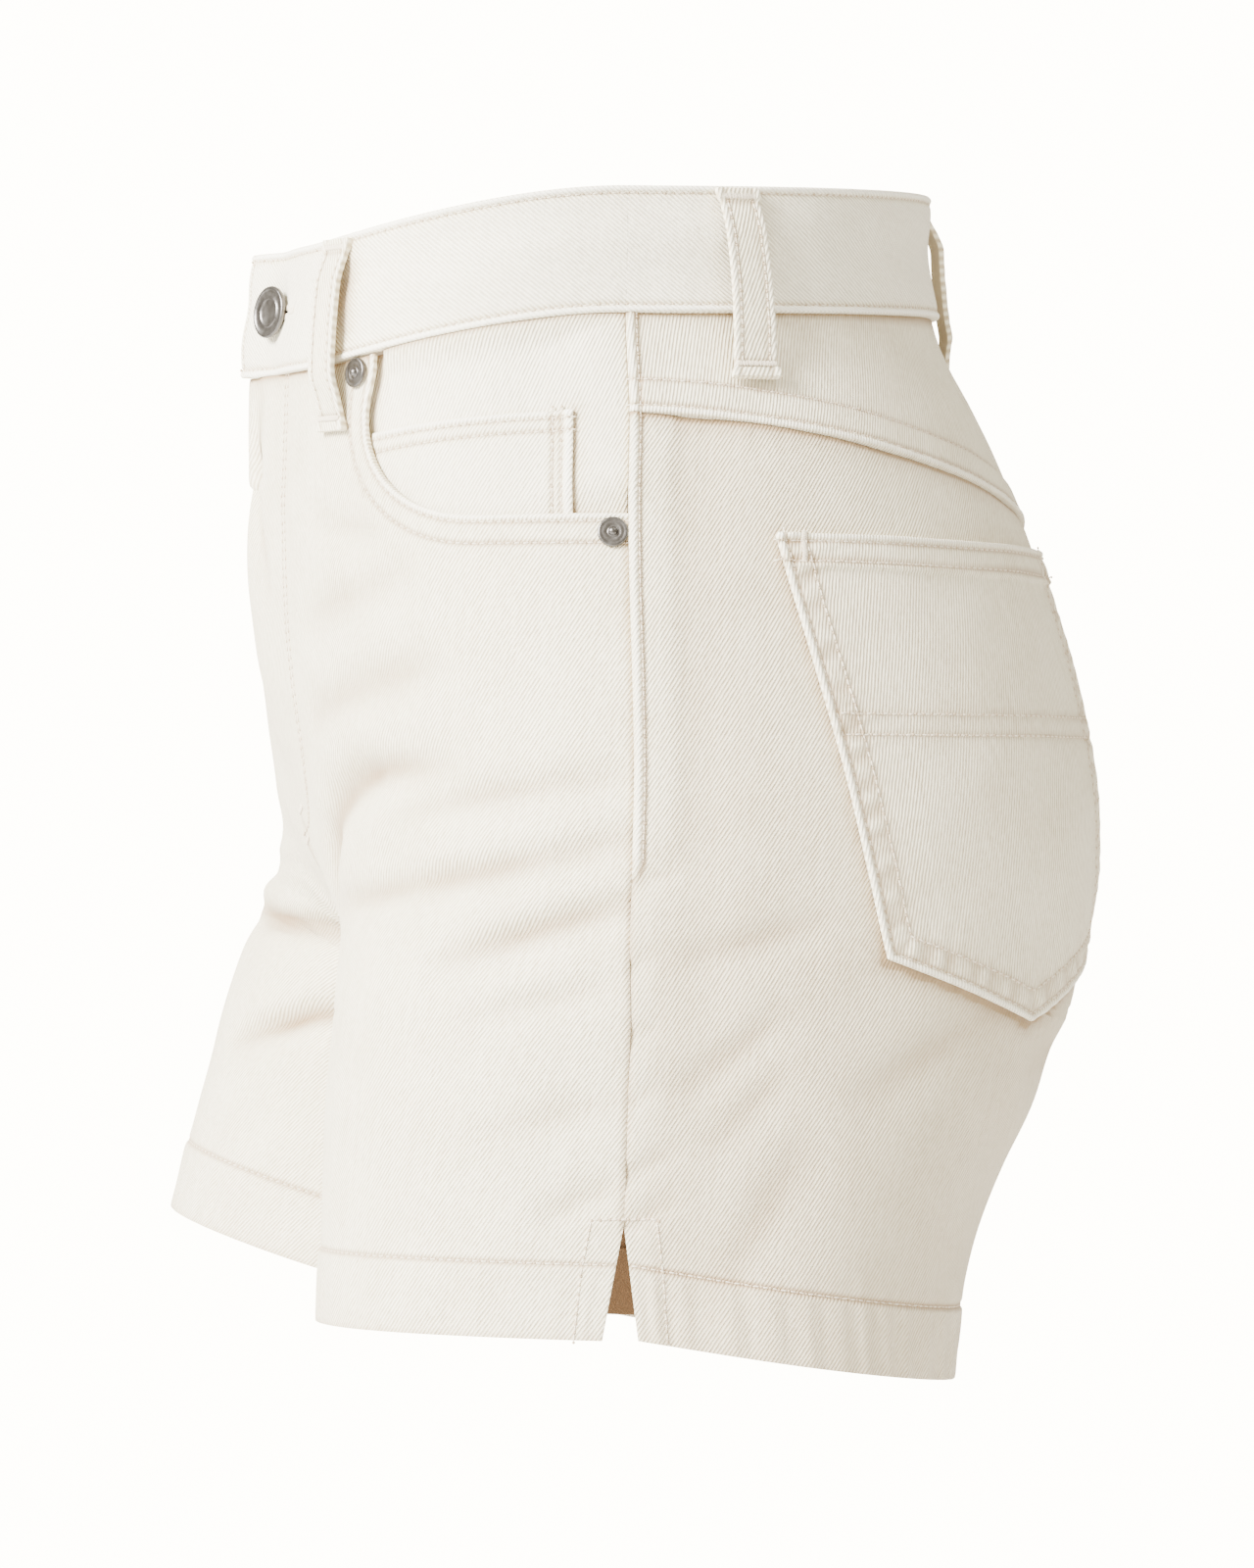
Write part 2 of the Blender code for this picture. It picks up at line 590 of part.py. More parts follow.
def coin_pocket():
    columns, shares = np.linspace(0.0, 1.0, 9), np.linspace(0.0, 1.0, 6)
    top = COIN_TOP_SIDE + (COIN_TOP_FRONT - COIN_TOP_SIDE) * columns
    heights = np.stack([top + (COIN_BOTTOM - top) * share for share in shares])
    across = (COIN_SIDE + COIN_WIDTH * columns[None]) / length_across("front", heights)
    depth = facing_depth(+1, across, heights) - LAYER_GAP
    outer = spot(+1, "front", across, heights, COIN_CLOTH - depth)
    inner = spot(+1, "front", across, heights, -depth)
    add_cloth("coin_pocket", *slab(outer, inner))


def pocket_point(share, down):
    """Distance from the side seam and height of a point of the back pocket."""
    ends = []
    for outer, inner in ((POCKET_TOP_OUTER, POCKET_TOP_INNER), (POCKET_LOW_OUTER, POCKET_LOW_INNER)):
        ends.append([outer[k] + (inner[k] - outer[k]) * share for k in (0, 1)])
    (top_from_side, top_height), (low_from_side, low_height) = ends
    low_height = low_height - POCKET_POINT_DROP * (1 - np.abs(2 * share - 1))
    from_side = top_from_side + (low_from_side - top_from_side) * down
    return from_side, top_height + (low_height - top_height) * down


def back_pocket(side):
    hem = POCKET_HEM / (POCKET_TOP_OUTER[1] - POCKET_LOW_OUTER[1])
    downs = np.concatenate([[0.0, hem - 0.01, hem], np.linspace(hem + 0.08, 1.0, 11)])
    share, down = np.meshgrid(np.linspace(0.0, 1.0, 13), downs)
    from_side, heights = pocket_point(share, down)
    across = from_side / length_across("back", heights)
    hemmed = PLY * (down < hem)
    outer = spot(side, "back", across, heights, LAYER_GAP + POCKET_CLOTH + hemmed)
    inner = spot(side, "back", across, heights, LAYER_GAP)
    add_cloth("back_pocket_" + side_name(side), *slab(outer, inner))


def band_stations():
    """Side, face, share and lift of the band's columns, from its left end round to its right one."""
    end = 1.0 - SEAM / 2 / length_across("front", BAND_TOP["front"])
    stations = [(+1, "front", across) for across in np.linspace(end, 0.0, 19)]
    stations += [(+1, "back", across) for across in np.linspace(0.0, 1.0, 18)[1:]]
    stations += [(-1, "back", across) for across in np.linspace(1.0, 0.0, 18)[1:]]
    under = 1.0 + UNDERLAP / length_across("front", BAND_TOP["front"])
    stations += [(-1, "front", across) for across in np.linspace(0.0, under, 22)[1:]]
    return stations


def band_lift(side, face, across, height):
    """The left end flares off the right one, which sinks in under it."""
    from_centre = (1.0 - across) * length_across("front", height)
    if face == "back":
        return np.zeros_like(from_centre)
    if side > 0:
        return BAND_LAP_LIFT * (1 - ease(from_centre / BAND_LAP_RUN))
    sunk = -(UNDERLAP_SINK + UNDERLAP_LIFT) * ease(-from_centre / UNDERLAP_RUN)
    return UNDERLAP_LIFT * (1 - ease(from_centre / BAND_LAP_RUN)) + sunk


def waistband():
    outer, inner = [], []
    for side, face, across in band_stations():
        own = across if across <= 1.0 else 2.0 - across
        top, foot = band_top(face, own), band_bottom(face, own)
        heights = np.array([foot, foot + BAND_HEIGHT * 0.5, top])
        lift = band_lift(side, face, across, heights)
        outer.append(spot(side, face, across, heights, lift + BAND_PROUD))
        inner.append(spot(side, face, across, heights, lift - CLOTH))
    add_cloth("waistband", *slab(np.stack(outer), np.stack(inner)))


def belt_loop(name, side, face, across, stand_off=LOOP_STAND):
    """A strip that is sewn at the band's top and below it, and stands off between."""
    top = float(band_top(face, across)) - LOOP_BELOW_TOP
    seam = float(band_bottom(face, across))
    foot = seam - LOOP_BELOW_BAND
    runs = np.array(LOOP_RUNS)
    heights = top + (foot - top) * runs
    stand = stand_off * ease(runs / LOOP_RISE) * ease((LOOP_FOOT - runs) / LOOP_RISE)
    below_band = PLY if face == "back" else 0.0
    seat = np.where(heights > seam - LOOP_LEAVES_BAND, BAND_PROUD, below_band)
    half = LOOP_WIDTH / 2 / float(length_across(face, top))
    bow = LOOP_BOW[name.split("_")[2]] * np.sin(LOOP_BOW_TURN * runs) / float(length_across(face, top))
    grid_across = across + bow[:, None] + np.array([-half, 0.0, half])[None]
    grid_height = np.repeat(heights[:, None], grid_across.shape[1], axis=1)
    grid_lift = np.repeat((LAYER_GAP + seat + stand)[:, None], grid_across.shape[1], axis=1)
    outer = spot(side, face, grid_across, grid_height, grid_lift + LOOP_THICK)
    inner = spot(side, face, grid_across, grid_height, grid_lift)
    add_cloth(name, *slab(outer, inner))


def belt_loops():
    for side in (+1, -1):
        front = 1.0 - FRONT_LOOP_FROM_CENTRE / float(length_across("front", 0.0))
        back = SIDE_LOOP_FROM_SEAM / float(length_across("back", 0.0))
        belt_loop("belt_loop_front_" + side_name(side), side, "front", front)
        belt_loop("belt_loop_side_" + side_name(side), side, "back", back)
    belt_loop("belt_loop_back", +1, "back", 1.0, BACK_LOOP_STAND)


def seat_of(side, face, across, height, lift):
    """A point on a piece's outer face and the normal there."""
    low, high = (spot(side, face, across, height, lift + more) for more in (0.0, 1.0))
    return low, high - low


def on_left_end(from_end, height):
    """A point of the band's outer face beside its left end, which flares."""
    across = 1.0 - from_end / float(length_across("front", height))
    lift = float(band_lift(+1, "front", across, height)) + BAND_PROUD
    return spot(+1, "front", across, height, lift)


def button():
    """The button stands on the flared end of the band, square to its slope."""
    height = BAND_TOP["front"] - BAND_HEIGHT / 2
    near, far = (
        on_left_end(BUTTON_FROM_END + reach, height) for reach in (-BUTTON_LEAN_REACH, BUTTON_LEAN_REACH)
    )
    seat = on_left_end(BUTTON_FROM_END, height)
    normal = np.cross(far - near, on_left_end(BUTTON_FROM_END, height + 1.0) - seat)
    normal /= np.linalg.norm(normal)
    add_turned("waist_button", BUTTON_PROFILE, 28, seat + BUTTON_GAP * normal, normal)


def rivets():
    for side in (+1, -1):
        for name, (across, height) in RIVET_PLACES.items():
            lift = float(fly_lift(side, across, height)) + LAYER_GAP
            seat, normal = seat_of(side, "front", across, height, lift)
            add_turned(f"rivet_{name}_{side_name(side)}", RIVET_PROFILE, 16, seat, normal)


def main():
    for old in list(bpy.data.objects):
        bpy.data.objects.remove(old)
    bpy.context.scene.collection.children.link(bpy.data.collections.new(OBJECT_NAME))
    waistband()
    for side in (+1, -1):
        yoke(side)
        back_panel(side)
        front_panel(side)
        pocket_facing(side)
        back_pocket(side)
    coin_pocket()
    belt_loops()
    button()
    rivets()


main()
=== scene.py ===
"""High-waisted five-pocket denim shorts in cream twill, worn and hollow, dressed over their frame.

The wearer faces -Y, the wearer's left is +X, up is +Z. Lengths are in millimetres until a mesh is
made. A flat point of a panel is (out, height): how far it is from the side seam, and its height.
"""

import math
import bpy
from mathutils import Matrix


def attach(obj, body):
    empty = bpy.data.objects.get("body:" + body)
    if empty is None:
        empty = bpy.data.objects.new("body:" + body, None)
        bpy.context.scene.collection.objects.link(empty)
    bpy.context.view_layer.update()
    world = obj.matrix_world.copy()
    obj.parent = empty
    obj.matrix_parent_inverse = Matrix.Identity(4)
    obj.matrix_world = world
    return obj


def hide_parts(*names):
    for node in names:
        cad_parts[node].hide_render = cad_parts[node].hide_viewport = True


bl_info = {
    "name": "Worn denim shorts",
    "version": (1, 0, 0),
    "blender": (4, 5, 0),
    "location": "View3D > Sidebar > Shorts",
    "description": "Cream five-pocket denim shorts in worn form, with their light and floor",
    "category": "Add Mesh",
}

from collections import namedtuple

import bpy
import numpy as np
from mathutils import Matrix, Vector

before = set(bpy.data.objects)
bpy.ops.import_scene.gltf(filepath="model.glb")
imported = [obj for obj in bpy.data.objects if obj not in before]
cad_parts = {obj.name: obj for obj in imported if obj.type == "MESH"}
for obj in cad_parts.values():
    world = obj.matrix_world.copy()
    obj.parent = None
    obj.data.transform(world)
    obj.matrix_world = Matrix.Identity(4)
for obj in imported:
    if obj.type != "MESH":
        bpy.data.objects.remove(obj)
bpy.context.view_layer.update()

METRES = 0.001  # in a millimetre

# Cloth and gaps
CLOTH = 1.4  # wall of one layer of heavy twill
PLY = 0.9  # what a turned or second layer adds to it
LAYER_GAP = 0.6  # gap between a piece and the panel that it lies on
SEWN_GAP = 0.12  # sewn edges all but touch
# Waistband and fly
BAND_HEIGHT = 40.0
BAND_PROUD = 1.2  # its outer face stands this far off the panels'
BAND_TOP = {"side": 22.0, "front": 7.0, "back": 27.0}
BAND_DIP_SHARE = 0.70  # of the front, over which the top edge falls
BAND_LINE = 800.0  # more than its whole run, so that both long edges have a line beside them
BAND_TONE = 0.35  # the whole band is coloured paler, towards the roll colour
UNDERLAP = 33.0  # the right end of the band under the left
UNDERLAP_LIFT, UNDERLAP_SINK, UNDERLAP_RUN = 2.0, 3.4, 22.0
BAND_LAP_LIFT, BAND_LAP_RUN = 7.4, 26.0  # how far its left end flares, over what length
FLY_LIFT, FLY_UNDER_LIFT, FLY_RUN = 6.2, 2.6, 40.0
FLY_BOTTOM, FLY_FADE = -190.0, 100.0
FLY_UNDERLAP, FLY_UNDERLAP_END, FLY_UNDERLAP_FADE = 14.0, -140.0, 25.0
FLY_UNDERLAP_SINK, FLY_UNDERLAP_RUN = 1.4, 6.0
FLY_ROWS = (35.5, 38.5)  # from the centre
FLY_STRAIGHT_END, FLY_MEETS = -133.0, -181.0
# Yoke, hems and seams
YOKE_SIDE, YOKE_DROP = -50.0, 36.0
YOKE_CENTRE = YOKE_SIDE - YOKE_DROP
FELL_WIDTH, FELL_FADE = 10.5, 2.0  # a lapped seam and its ridge
SEAT_RIDGE_END = -208.0
SIDE_RIDGE, SIDE_RIDGE_WIDTH, SIDE_RIDGE_FADE, SIDE_RIDGE_END = 0.7, 3.4, 1.0, -190.0
HEM_SIDE, HEM_INSEAM = -335.0, -340.0
HEM_FRONT_RISE = {+1: 2.0, -1: 0.5}
HEM_BACK_DROP = {+1: 16.0, -1: 2.0}
HEM_SWUNG_DIP, HEM_DIP_POWER = 9.5, 2.5  # of the swung leg's front, on its inner half
HEM_DEPTH, HEM_STEP, HEM_SHOWS = 23.0, 1.5, 0.5
SLIT_TOP, SLIT_HALF_WIDTH = -300.0, 5.5
STITCH_IN = 2.3  # from an edge to its first row
# Front pocket mouth, in shares of the front and heights
MOUTH_TOP_ACROSS, MOUTH_ACROSS = 0.465, 0.485
MOUTH_TURN = -50.0  # where its upright edge starts to turn
MOUTH_FLOOR = -81.5
MOUTH_CORNER_ACROSS = 0.232
MOUTH_SECOND_ROW = 9.0
FACING_DEPTH = {+1: 3.5, -1: 2.0}  # of its outer face, deeper under the coin pocket
FACING_REACH_ACROSS, FACING_BOTTOM = 0.60, -104.0
FACING_EDGE, FACING_RISE, FACING_SIDE_ACROSS = 2.5, 9.5, 0.16  # where it rises inside the mouth
FACING_CLOTH, COIN_CLOTH, POCKET_CLOTH = 1.2, 1.0, 1.3
COIN_TOP_SIDE, COIN_TOP_FRONT = -48.5, -55.0
COIN_SIDE, COIN_WIDTH, COIN_DOWN, COIN_BOTTOM = 17.5, 78.0, 42.0, -97.0
# Back pocket, in millimetres from the side seam and heights, from its outer to its inner edge
POCKET_TOP = np.array([(46.0, -88.0), (184.0, -91.0)])
POCKET_LOW = np.array([(81.0, -219.0), (195.0, -217.0)])
POCKET_POINT_DROP, POCKET_HEM, POCKET_SECOND_ROW = 21.0, 11.0, 9.0
POCKET_WIDE, POCKET_DEEP = 126.0, 132.0  # for spacing its columns and rows
PLAIN_ROWS = (56.0, 62.5)  # below the pocket's top: two plain straight rows across it
PUCKERED, PUCKERED_PERIOD = 0.45, 10.5  # between the rows along the pocket's edges
# Belt loops
LOOP_WIDTH, LOOP_THICK = 12.5, 2.4
LOOP_STAND, BACK_LOOP_STAND = 3.0, 5.6
LOOP_BELOW_TOP, LOOP_BELOW_BAND, LOOP_LEAVES_BAND = 1.0, 22.0, 11.0
LOOP_RISE, LOOP_FOOT = 0.25, 0.97  # shares of its length
LOOP_ROW = 0.66  # of its half width
LOOP_BOW = {"front": 0.0, "side": 3.2, "back": 0.0}  # how far back the strip bows on its way down
LOOP_BOW_TURN = 0.85 * math.pi
FRONT_LOOP_FROM_CENTRE, SIDE_LOOP_FROM_SEAM = 76.0, 35.0
# Metal
BUTTON_FROM_END, BUTTON_GAP = 22.5, 0.9
BUTTON_LEAN_REACH = 4.0  # to each side of it, the band's slope gives its lean
BUTTON_TILT = 13.0  # degrees, on its shank, towards the wearer's left
BUTTONHOLE_REACH, BUTTONHOLE_PAST, BUTTONHOLE_HALF = 8.0, 3.0, 0.8
BUTTONHOLE_MIDDLE = BUTTON_FROM_END + BUTTONHOLE_PAST
RIVET_PLACES = {"upper": (0.508, -35.5), "lower": (0.024, -87.5)}  # share across, height

# Half widths and depths of the body of cloth. The axes are where each half's curve turns inwards,
# the middle is the depth of its widest line, the seam that of the side seam, and the roundness the
# exponent of the front's outer curve: 2 is an ellipse, and more is flatter before the belly.
SECTION_COLUMNS = "height side front back front_axis back_axis middle seam front_roundness".split()
SECTIONS = np.array([
    (-380, 180, 116, 84, 94, 94, 12, -34, 2.15),
    (-335, 179, 115, 88, 94, 94, 12, -33, 2.15),
    (-310, 178, 114, 93, 94, 94, 12, -32, 2.15),
    (-285, 177, 113, 103, 94, 94, 12, -31, 2.15),
    (-260, 176, 112, 118, 93, 93, 12, -30, 2.15),
    (-238, 175, 109, 126, 90, 90, 12, -29, 2.15),
    (-215, 174, 105, 131, 76, 84, 12, -29, 2.15),
    (-190, 173, 106, 137, 58, 74, 12, -28, 2.15),
    (-165, 171, 110, 139, 38, 62, 11, -27, 2.15),
    (-130, 166, 117, 136, 16, 42, 6, -27, 2.2),
    (-100, 159, 119.5, 130, 6, 26, 1, -27, 2.3),
    (-75, 151, 120, 123, 2, 14, -3, -26, 2.4),
    (-50, 141, 119.5, 114, 0, 6, -7, -24, 2.5),
    (-20, 128, 118, 100, 0, 0, -12, -23, 2.6),
    (0, 124, 116, 97, 0, 0, -12, -22, 2.6),
    (25, 121, 114.5, 96, 0, 0, -12, -21, 2.6),
    (60, 119, 113, 93, 0, 0, -12, -20, 2.6),
], float)
LOWEST, HIGHEST = SECTIONS[0, 0], SECTIONS[-1, 0]
CROTCH = -238.0
PINCHES = {"front": (-180.0, 0.9), "back": (-120.0, 1.7)}  # start and power
INSEAM_GAP, INSEAM_SPREAD = 0.15, 0.08
BACK_ROUNDNESS = 2.15

# The right leg is swung forward about a line through the hips.
Swing = namedtuple("Swing", "degrees depth height start run")
SWINGS = {+1: None, -1: Swing(12.5, 10.0, -212.0, -165.0, 70.0)}
SWING_INNER_RUN, SWING_CROTCH_RUN = 45.0, 60.0

# The largest folds: soft troughs (negative depth) and ridges, from one end to the other, in shares
# across and heights.
Fold = namedtuple("Fold", "across height to_across to_height width depth")
FOLDS = {
    (-1, "front"): (Fold(0.30, -192, 0.94, -206, 13, 3.0), Fold(0.34, -222, 0.84, -246, 14, 3.0)),
    (+1, "front"): (Fold(0.28, -180, 0.86, -206, 16, -2.0), Fold(0.20, -232, 0.72, -200, 16, 1.5)),
    (+1, "back"): (Fold(0.30, -266, 0.80, -240, 16, -2.0),),
    (-1, "back"): (Fold(0.30, -258, 0.80, -238, 16, -2.0),),
}
# Smaller creases curve through three flat places: millimetres from the side seam, and heights.
# Each falls away over one width above it, or to its left, and over another on its far side.
Crease = namedtuple("Crease", "start start_up middle middle_up end end_up width far_width depth")
CREASES = {
    # The crotch: drawn from the fork up and round over the thigh
    (+1, "front"): (
        (168, -214, 131, -170, 58, -160, 6.0, 9.5, -6.0),
        (158, -176, 122, -149, 62, -144, 9.0, 8.0, 2.5),
        (152, -212, 112, -184, 56, -175, 7.0, 12.0, 2.5),
        (172, -36, 187, -66, 176, -106, 4.0, 7.0, -3.4),
        (132, -80, 112, -83, 84, -86, 4.5, 8.0, -2.1),
        (148, -113, 112, -106, 70, -97, 7.5, 12.0, -2.4),
        (150, -144, 110, -135, 60, -126, 8.5, 13.0, -3.6),
        (96, -176, 40, -167, -6, -162, 4.5, 8.0, -2.6),
        (150, -204, 52, -192, -10, -178, 4.5, 9.0, -4.4),
        (70, -221, 28, -209, -12, -198, 4.5, 9.0, -4.4),
        (56, -237, 30, -231, 2, -226, 4.0, 8.0, -1.9),
        (50, -272, 25, -267, -4, -260, 5.0, 9.0, -1.3),
        (28, -299, 14, -292, 0, -287, 4.0, 6.0, -1.9),
    ),
    # The lifted leg: two sharp ones by the fork, and softer ones on its outside
    (-1, "front"): (
        (96, -229, 158, -236, 208, -229, 4.5, 8.0, -6.4),
        (138, -281, 172, -268, 208, -254, 4.5, 8.0, -6.2),
        (120, -212, 160, -216, 200, -214, 7.0, 8.0, 2.5),
        (80, -170, 40, -166, -4, -160, 5.0, 9.0, -2.3),
        (130, -196, 56, -190, -10, -182, 5.0, 10.0, -4.2),
        (100, -226, 40, -214, -10, -204, 5.0, 10.0, -3.8),
        (140, -136, 108, -134, 70, -130, 5.0, 9.0, -2.7),
        (135, -104, 108, -104, 80, -101, 5.0, 9.0, -2.1),
        (60, -290, 30, -284, 0, -276, 5.0, 9.0, -1.7),
    ),
    # The backs: soft diagonals below the pockets, drawn to the side seam and to the seat, then
    # short ticks where the side seams draw the cloth in
    (+1, "back"): (
        (8, -219, 38, -213, 66, -204, 4.0, 8.0, -1.7),
        (10, -262, 34, -246, 50, -230, 4.5, 8.0, -1.7),
        (24, -278, 38, -264, 50, -250, 4.5, 8.0, -1.5),
        (28, -322, 43, -298, 58, -268, 6.5, 10.0, -1.4),
        (66, -266, 94, -250, 128, -232, 6.0, 11.0, -1.4),
        (140, -254, 190, -247, 240, -238, 8.0, 14.0, -1.8),
        (236, -282, 270, -264, 304, -250, 8.0, 13.0, -1.6),
        (-3, -197, 6, -194, 16, -191, 1.6, 3.0, -1.2),
        (-3, -221, 4, -218, 12, -215, 2.0, 3.5, -0.9),
        (-3, -243, 4, -240, 11, -237, 2.0, 3.5, -0.9),
        (-3, -264, 4, -260, 12, -256, 2.0, 3.5, -1.0),
        (-3, -286, 6, -281, 18, -275, 2.0, 3.5, -1.4),
        (-3, -302, 6, -297, 17, -291, 2.0, 3.5, -1.4),
    ),
    (-1, "back"): (
        (8, -219, 40, -212, 70, -204, 4.5, 9.0, -2.3),
        (20, -262, 44, -250, 66, -238, 4.5, 9.0, -1.9),
        (30, -318, 46, -298, 62, -274, 6.0, 11.0, -1.6),
        (110, -248, 180, -238, 246, -230, 9.0, 15.0, -2.0),
        (230, -276, 268, -259, 304, -248, 8.0, 13.0, -1.6),
        (-3, -221, 4, -218, 12, -215, 2.0, 3.5, -0.9),
        (-3, -250, 5, -246, 14, -242, 2.0, 3.5, -1.0),
        (-3, -284, 6, -279, 17, -273, 2.0, 3.5, -1.4),
    ),
}
CREASE_SHADE = 0.15  # painted shade in the creases, for each millimetre of depth

RING_SAMPLES = 120  # on each quarter of a half ring
TABLE_STEP = 2.0  # heights between the rings of the surface's table
TABLE_ACROSS = 192


def ease(share):
    """0 to 1 with level ends."""
    share = np.clip(share, 0.0, 1.0)
    return share * share * (3.0 - 2.0 * share)


def bump(distance, width):
    """1 on a line, falling away to 0 over a width."""
    return np.exp(-((distance / width) ** 2))


def column(name, height):
    """A column of SECTIONS at any height, on a smooth curve through its rows."""
    heights, values = SECTIONS[:, 0], SECTIONS[:, SECTION_COLUMNS.index(name)]
    steps = np.diff(heights)
    slopes = np.diff(values) / steps
    within = (slopes[:-1] * steps[1:] + slopes[1:] * steps[:-1]) / (steps[1:] + steps[:-1])
    tangents = np.concatenate([slopes[:1], within, slopes[-1:]])
    row = np.clip(np.searchsorted(heights, height) - 1, 0, len(steps) - 1)
    t = (height - heights[row]) / steps[row]
    start = values[row] * (1 + 2 * t) + tangents[row] * steps[row] * t
    end = values[row + 1] * (3 - 2 * t) - tangents[row + 1] * steps[row] * (1 - t)
    return start * (1 - t) ** 2 + end * t ** 2


def quarter_curves(height, face):
    """x and y of one face's half ring at each height, from the widest point to the centre."""
    height = height[:, None]
    sign = -1.0 if face == "front" else 1.0
    axis, middle = column(face + "_axis", height), column("middle", height)
    depth = sign * column(face, height) - middle
    turn = np.linspace(0.0, math.pi / 2, RING_SAMPLES)[None]
    power = 2.0 / (column("front_roundness", height) if face == "front" else BACK_ROUNDNESS)
    outer_x = axis + (column("side", height) - axis) * np.abs(np.cos(turn)) ** power
    outer_y = middle + depth * np.abs(np.sin(turn)) ** power
    start, pinch = PINCHES[face]
    pinched = np.clip((start - height) / (start - CROTCH), 0.0, 1.0) ** pinch
    inner_end = np.where(height < CROTCH, INSEAM_GAP + (CROTCH - height) * INSEAM_SPREAD, 0.0)
    inner_x = axis - (axis - inner_end) * np.sin(turn)
    inner_y = middle + depth * np.sqrt(1.0 - (pinched * np.sin(turn)) ** 2)
    x = np.concatenate([outer_x, inner_x[:, 1:]], axis=1)
    return np.stack([x, np.concatenate([outer_y, inner_y[:, 1:]], axis=1)], axis=-1)


def face_rows(heights, face):
    """Points at even shares across a face of the left half, and its length at each height."""
    front, back = quarter_curves(heights, "front"), quarter_curves(heights, "back")
    rings = np.concatenate([front[:, ::-1], back[:, 1:]], axis=1)
    widest = front.shape[1] - 1
    near_side = slice(widest - RING_SAMPLES // 2, widest + RING_SAMPLES // 2)
    shares = np.linspace(0.0, 1.0, TABLE_ACROSS + 1)
    rows, lengths = [], []
    for height, ring in zip(heights, rings):
        run = np.append(0.0, np.cumsum(np.linalg.norm(np.diff(ring, axis=0), axis=1)))
        seam = np.interp(column("seam", height), ring[near_side, 1], run[near_side])
        length = seam if face == "front" else run[-1] - seam
        places = seam + (-shares if face == "front" else shares) * length
        x, y = (np.interp(places, run, ring[:, k]) for k in (0, 1))
        rows.append(np.stack([x, y, np.full_like(x, height)], axis=-1))
        lengths.append(length)
    return np.array(rows), np.array(lengths)


def swung(points, side):
    """The points of the left half's table, put on their side and swung with that side's leg."""
    points = points * np.array([side, 1.0, 1.0])
    swing = SWINGS[side]
    if swing is None:
        return points
    x, y, z = np.abs(points[..., 0]), points[..., 1], points[..., 2]
    inner = (1 - ease(x / SWING_INNER_RUN)) * (1 - ease((CROTCH - z) / SWING_CROTCH_RUN))
    angle = math.radians(swing.degrees) * ease((swing.start - z) / swing.run) * (1 - inner)
    forward, up = y - swing.depth, z - swing.height
    y = swing.depth + forward * np.cos(angle) + up * np.sin(angle)
    z = swing.height - forward * np.sin(angle) + up * np.cos(angle)
    return np.stack([points[..., 0], y, z], axis=-1)


def normals_of(points, side, face):
    """Outward normals of a table of points."""
    normals = np.cross(np.gradient(points, axis=1), np.gradient(points, axis=0))
    normals *= side if face == "back" else -side
    return normals / np.linalg.norm(normals, axis=-1, keepdims=True)


def fold_depths(side, face, heights, lengths):
    """How far the folds and creases move each point of a face's table along its normal."""
    across = np.linspace(0.0, 1.0, TABLE_ACROSS + 1)[None]
    reach = np.median(lengths)
    moved = np.zeros((len(heights), TABLE_ACROSS + 1))
    for fold in FOLDS[side, face]:
        start = np.array([fold.across * reach, fold.height])
        line = np.array([fold.to_across * reach, fold.to_height]) - start
        run = np.linalg.norm(line)
        offset = np.stack(np.broadcast_arrays(across * reach, heights[:, None]), -1) - start
        along = offset @ line / run ** 2
        away = (offset[..., 0] * line[1] - offset[..., 1] * line[0]) / run
        moved += fold.depth * ease(along / 0.35) * ease((1 - along) / 0.35) * bump(away, fold.width)
    for row in CREASES[side, face]:
        moved += crease_depths(Crease(*row), across * lengths[:, None], heights[:, None])
    return moved


def crease_depths(crease, out, height):
    """One crease's trough or ridge, uneven in depth and fading out at both ends."""
    start, middle, end = (np.array(crease[k:k + 2], float) for k in (0, 2, 4))
    t = np.linspace(0.0, 1.0, 13)[:, None]
    line = start * (1 - t) * (1 - 2 * t) + middle * 4 * t * (1 - t) + end * t * (2 * t - 1)
    away, along, below = beside(line, out, height)
    run = np.linalg.norm(np.diff(line, axis=0), axis=1).sum()
    taper = np.sin(math.pi * np.clip(along / run, 0.0, 1.0)) ** 0.8
    uneven = 1.0 + 0.12 * np.sin(along / 9.3 + crease.width) + 0.05 * np.sin(along / 4.1)
    width = np.where(below, crease.far_width, crease.width)
    return crease.depth * taper * uneven * bump(away, width)


def painted_crease_shade(side, face, out, height):
    """Painted shade: how tan the cloth is painted down in its creases."""
    tone = np.zeros(np.broadcast(out, height).shape)
    for crease in (Crease(*row) for row in CREASES[side, face]):
        if crease.depth < 0:
            narrow = crease._replace(width=0.7 * crease.width, far_width=0.45 * crease.far_width)
            tone += CREASE_SHADE * crease_depths(narrow, out, height)
    return tone


def beside(line, out, height):
    """Distance of flat places from a line, how far along it each one's nearest point is, and
    whether the place lies below it."""
    out, height = np.broadcast_arrays(np.asarray(out, float), np.asarray(height, float))
    best, along, run = np.full(out.shape, 1e9), np.zeros(out.shape), 0.0
    below = np.zeros(out.shape, bool)
    for (x, z), (next_x, next_z) in zip(line[:-1], line[1:]):
        dx, dz = next_x - x, next_z - z
        length = math.hypot(dx, dz)
        share = np.clip(((out - x) * dx + (height - z) * dz) / max(length, 1e-6) ** 2, 0, 1)
        from_x, from_z = out - x - share * dx, height - z - share * dz
        away = np.hypot(from_x, from_z)
        near = away < best
        best, along = np.where(near, away, best), np.where(near, run + share * length, along)
        below = np.where(near, (from_z * dx - from_x * dz) * np.sign(dx) < 0, below)
        run += length
    return best, along, below


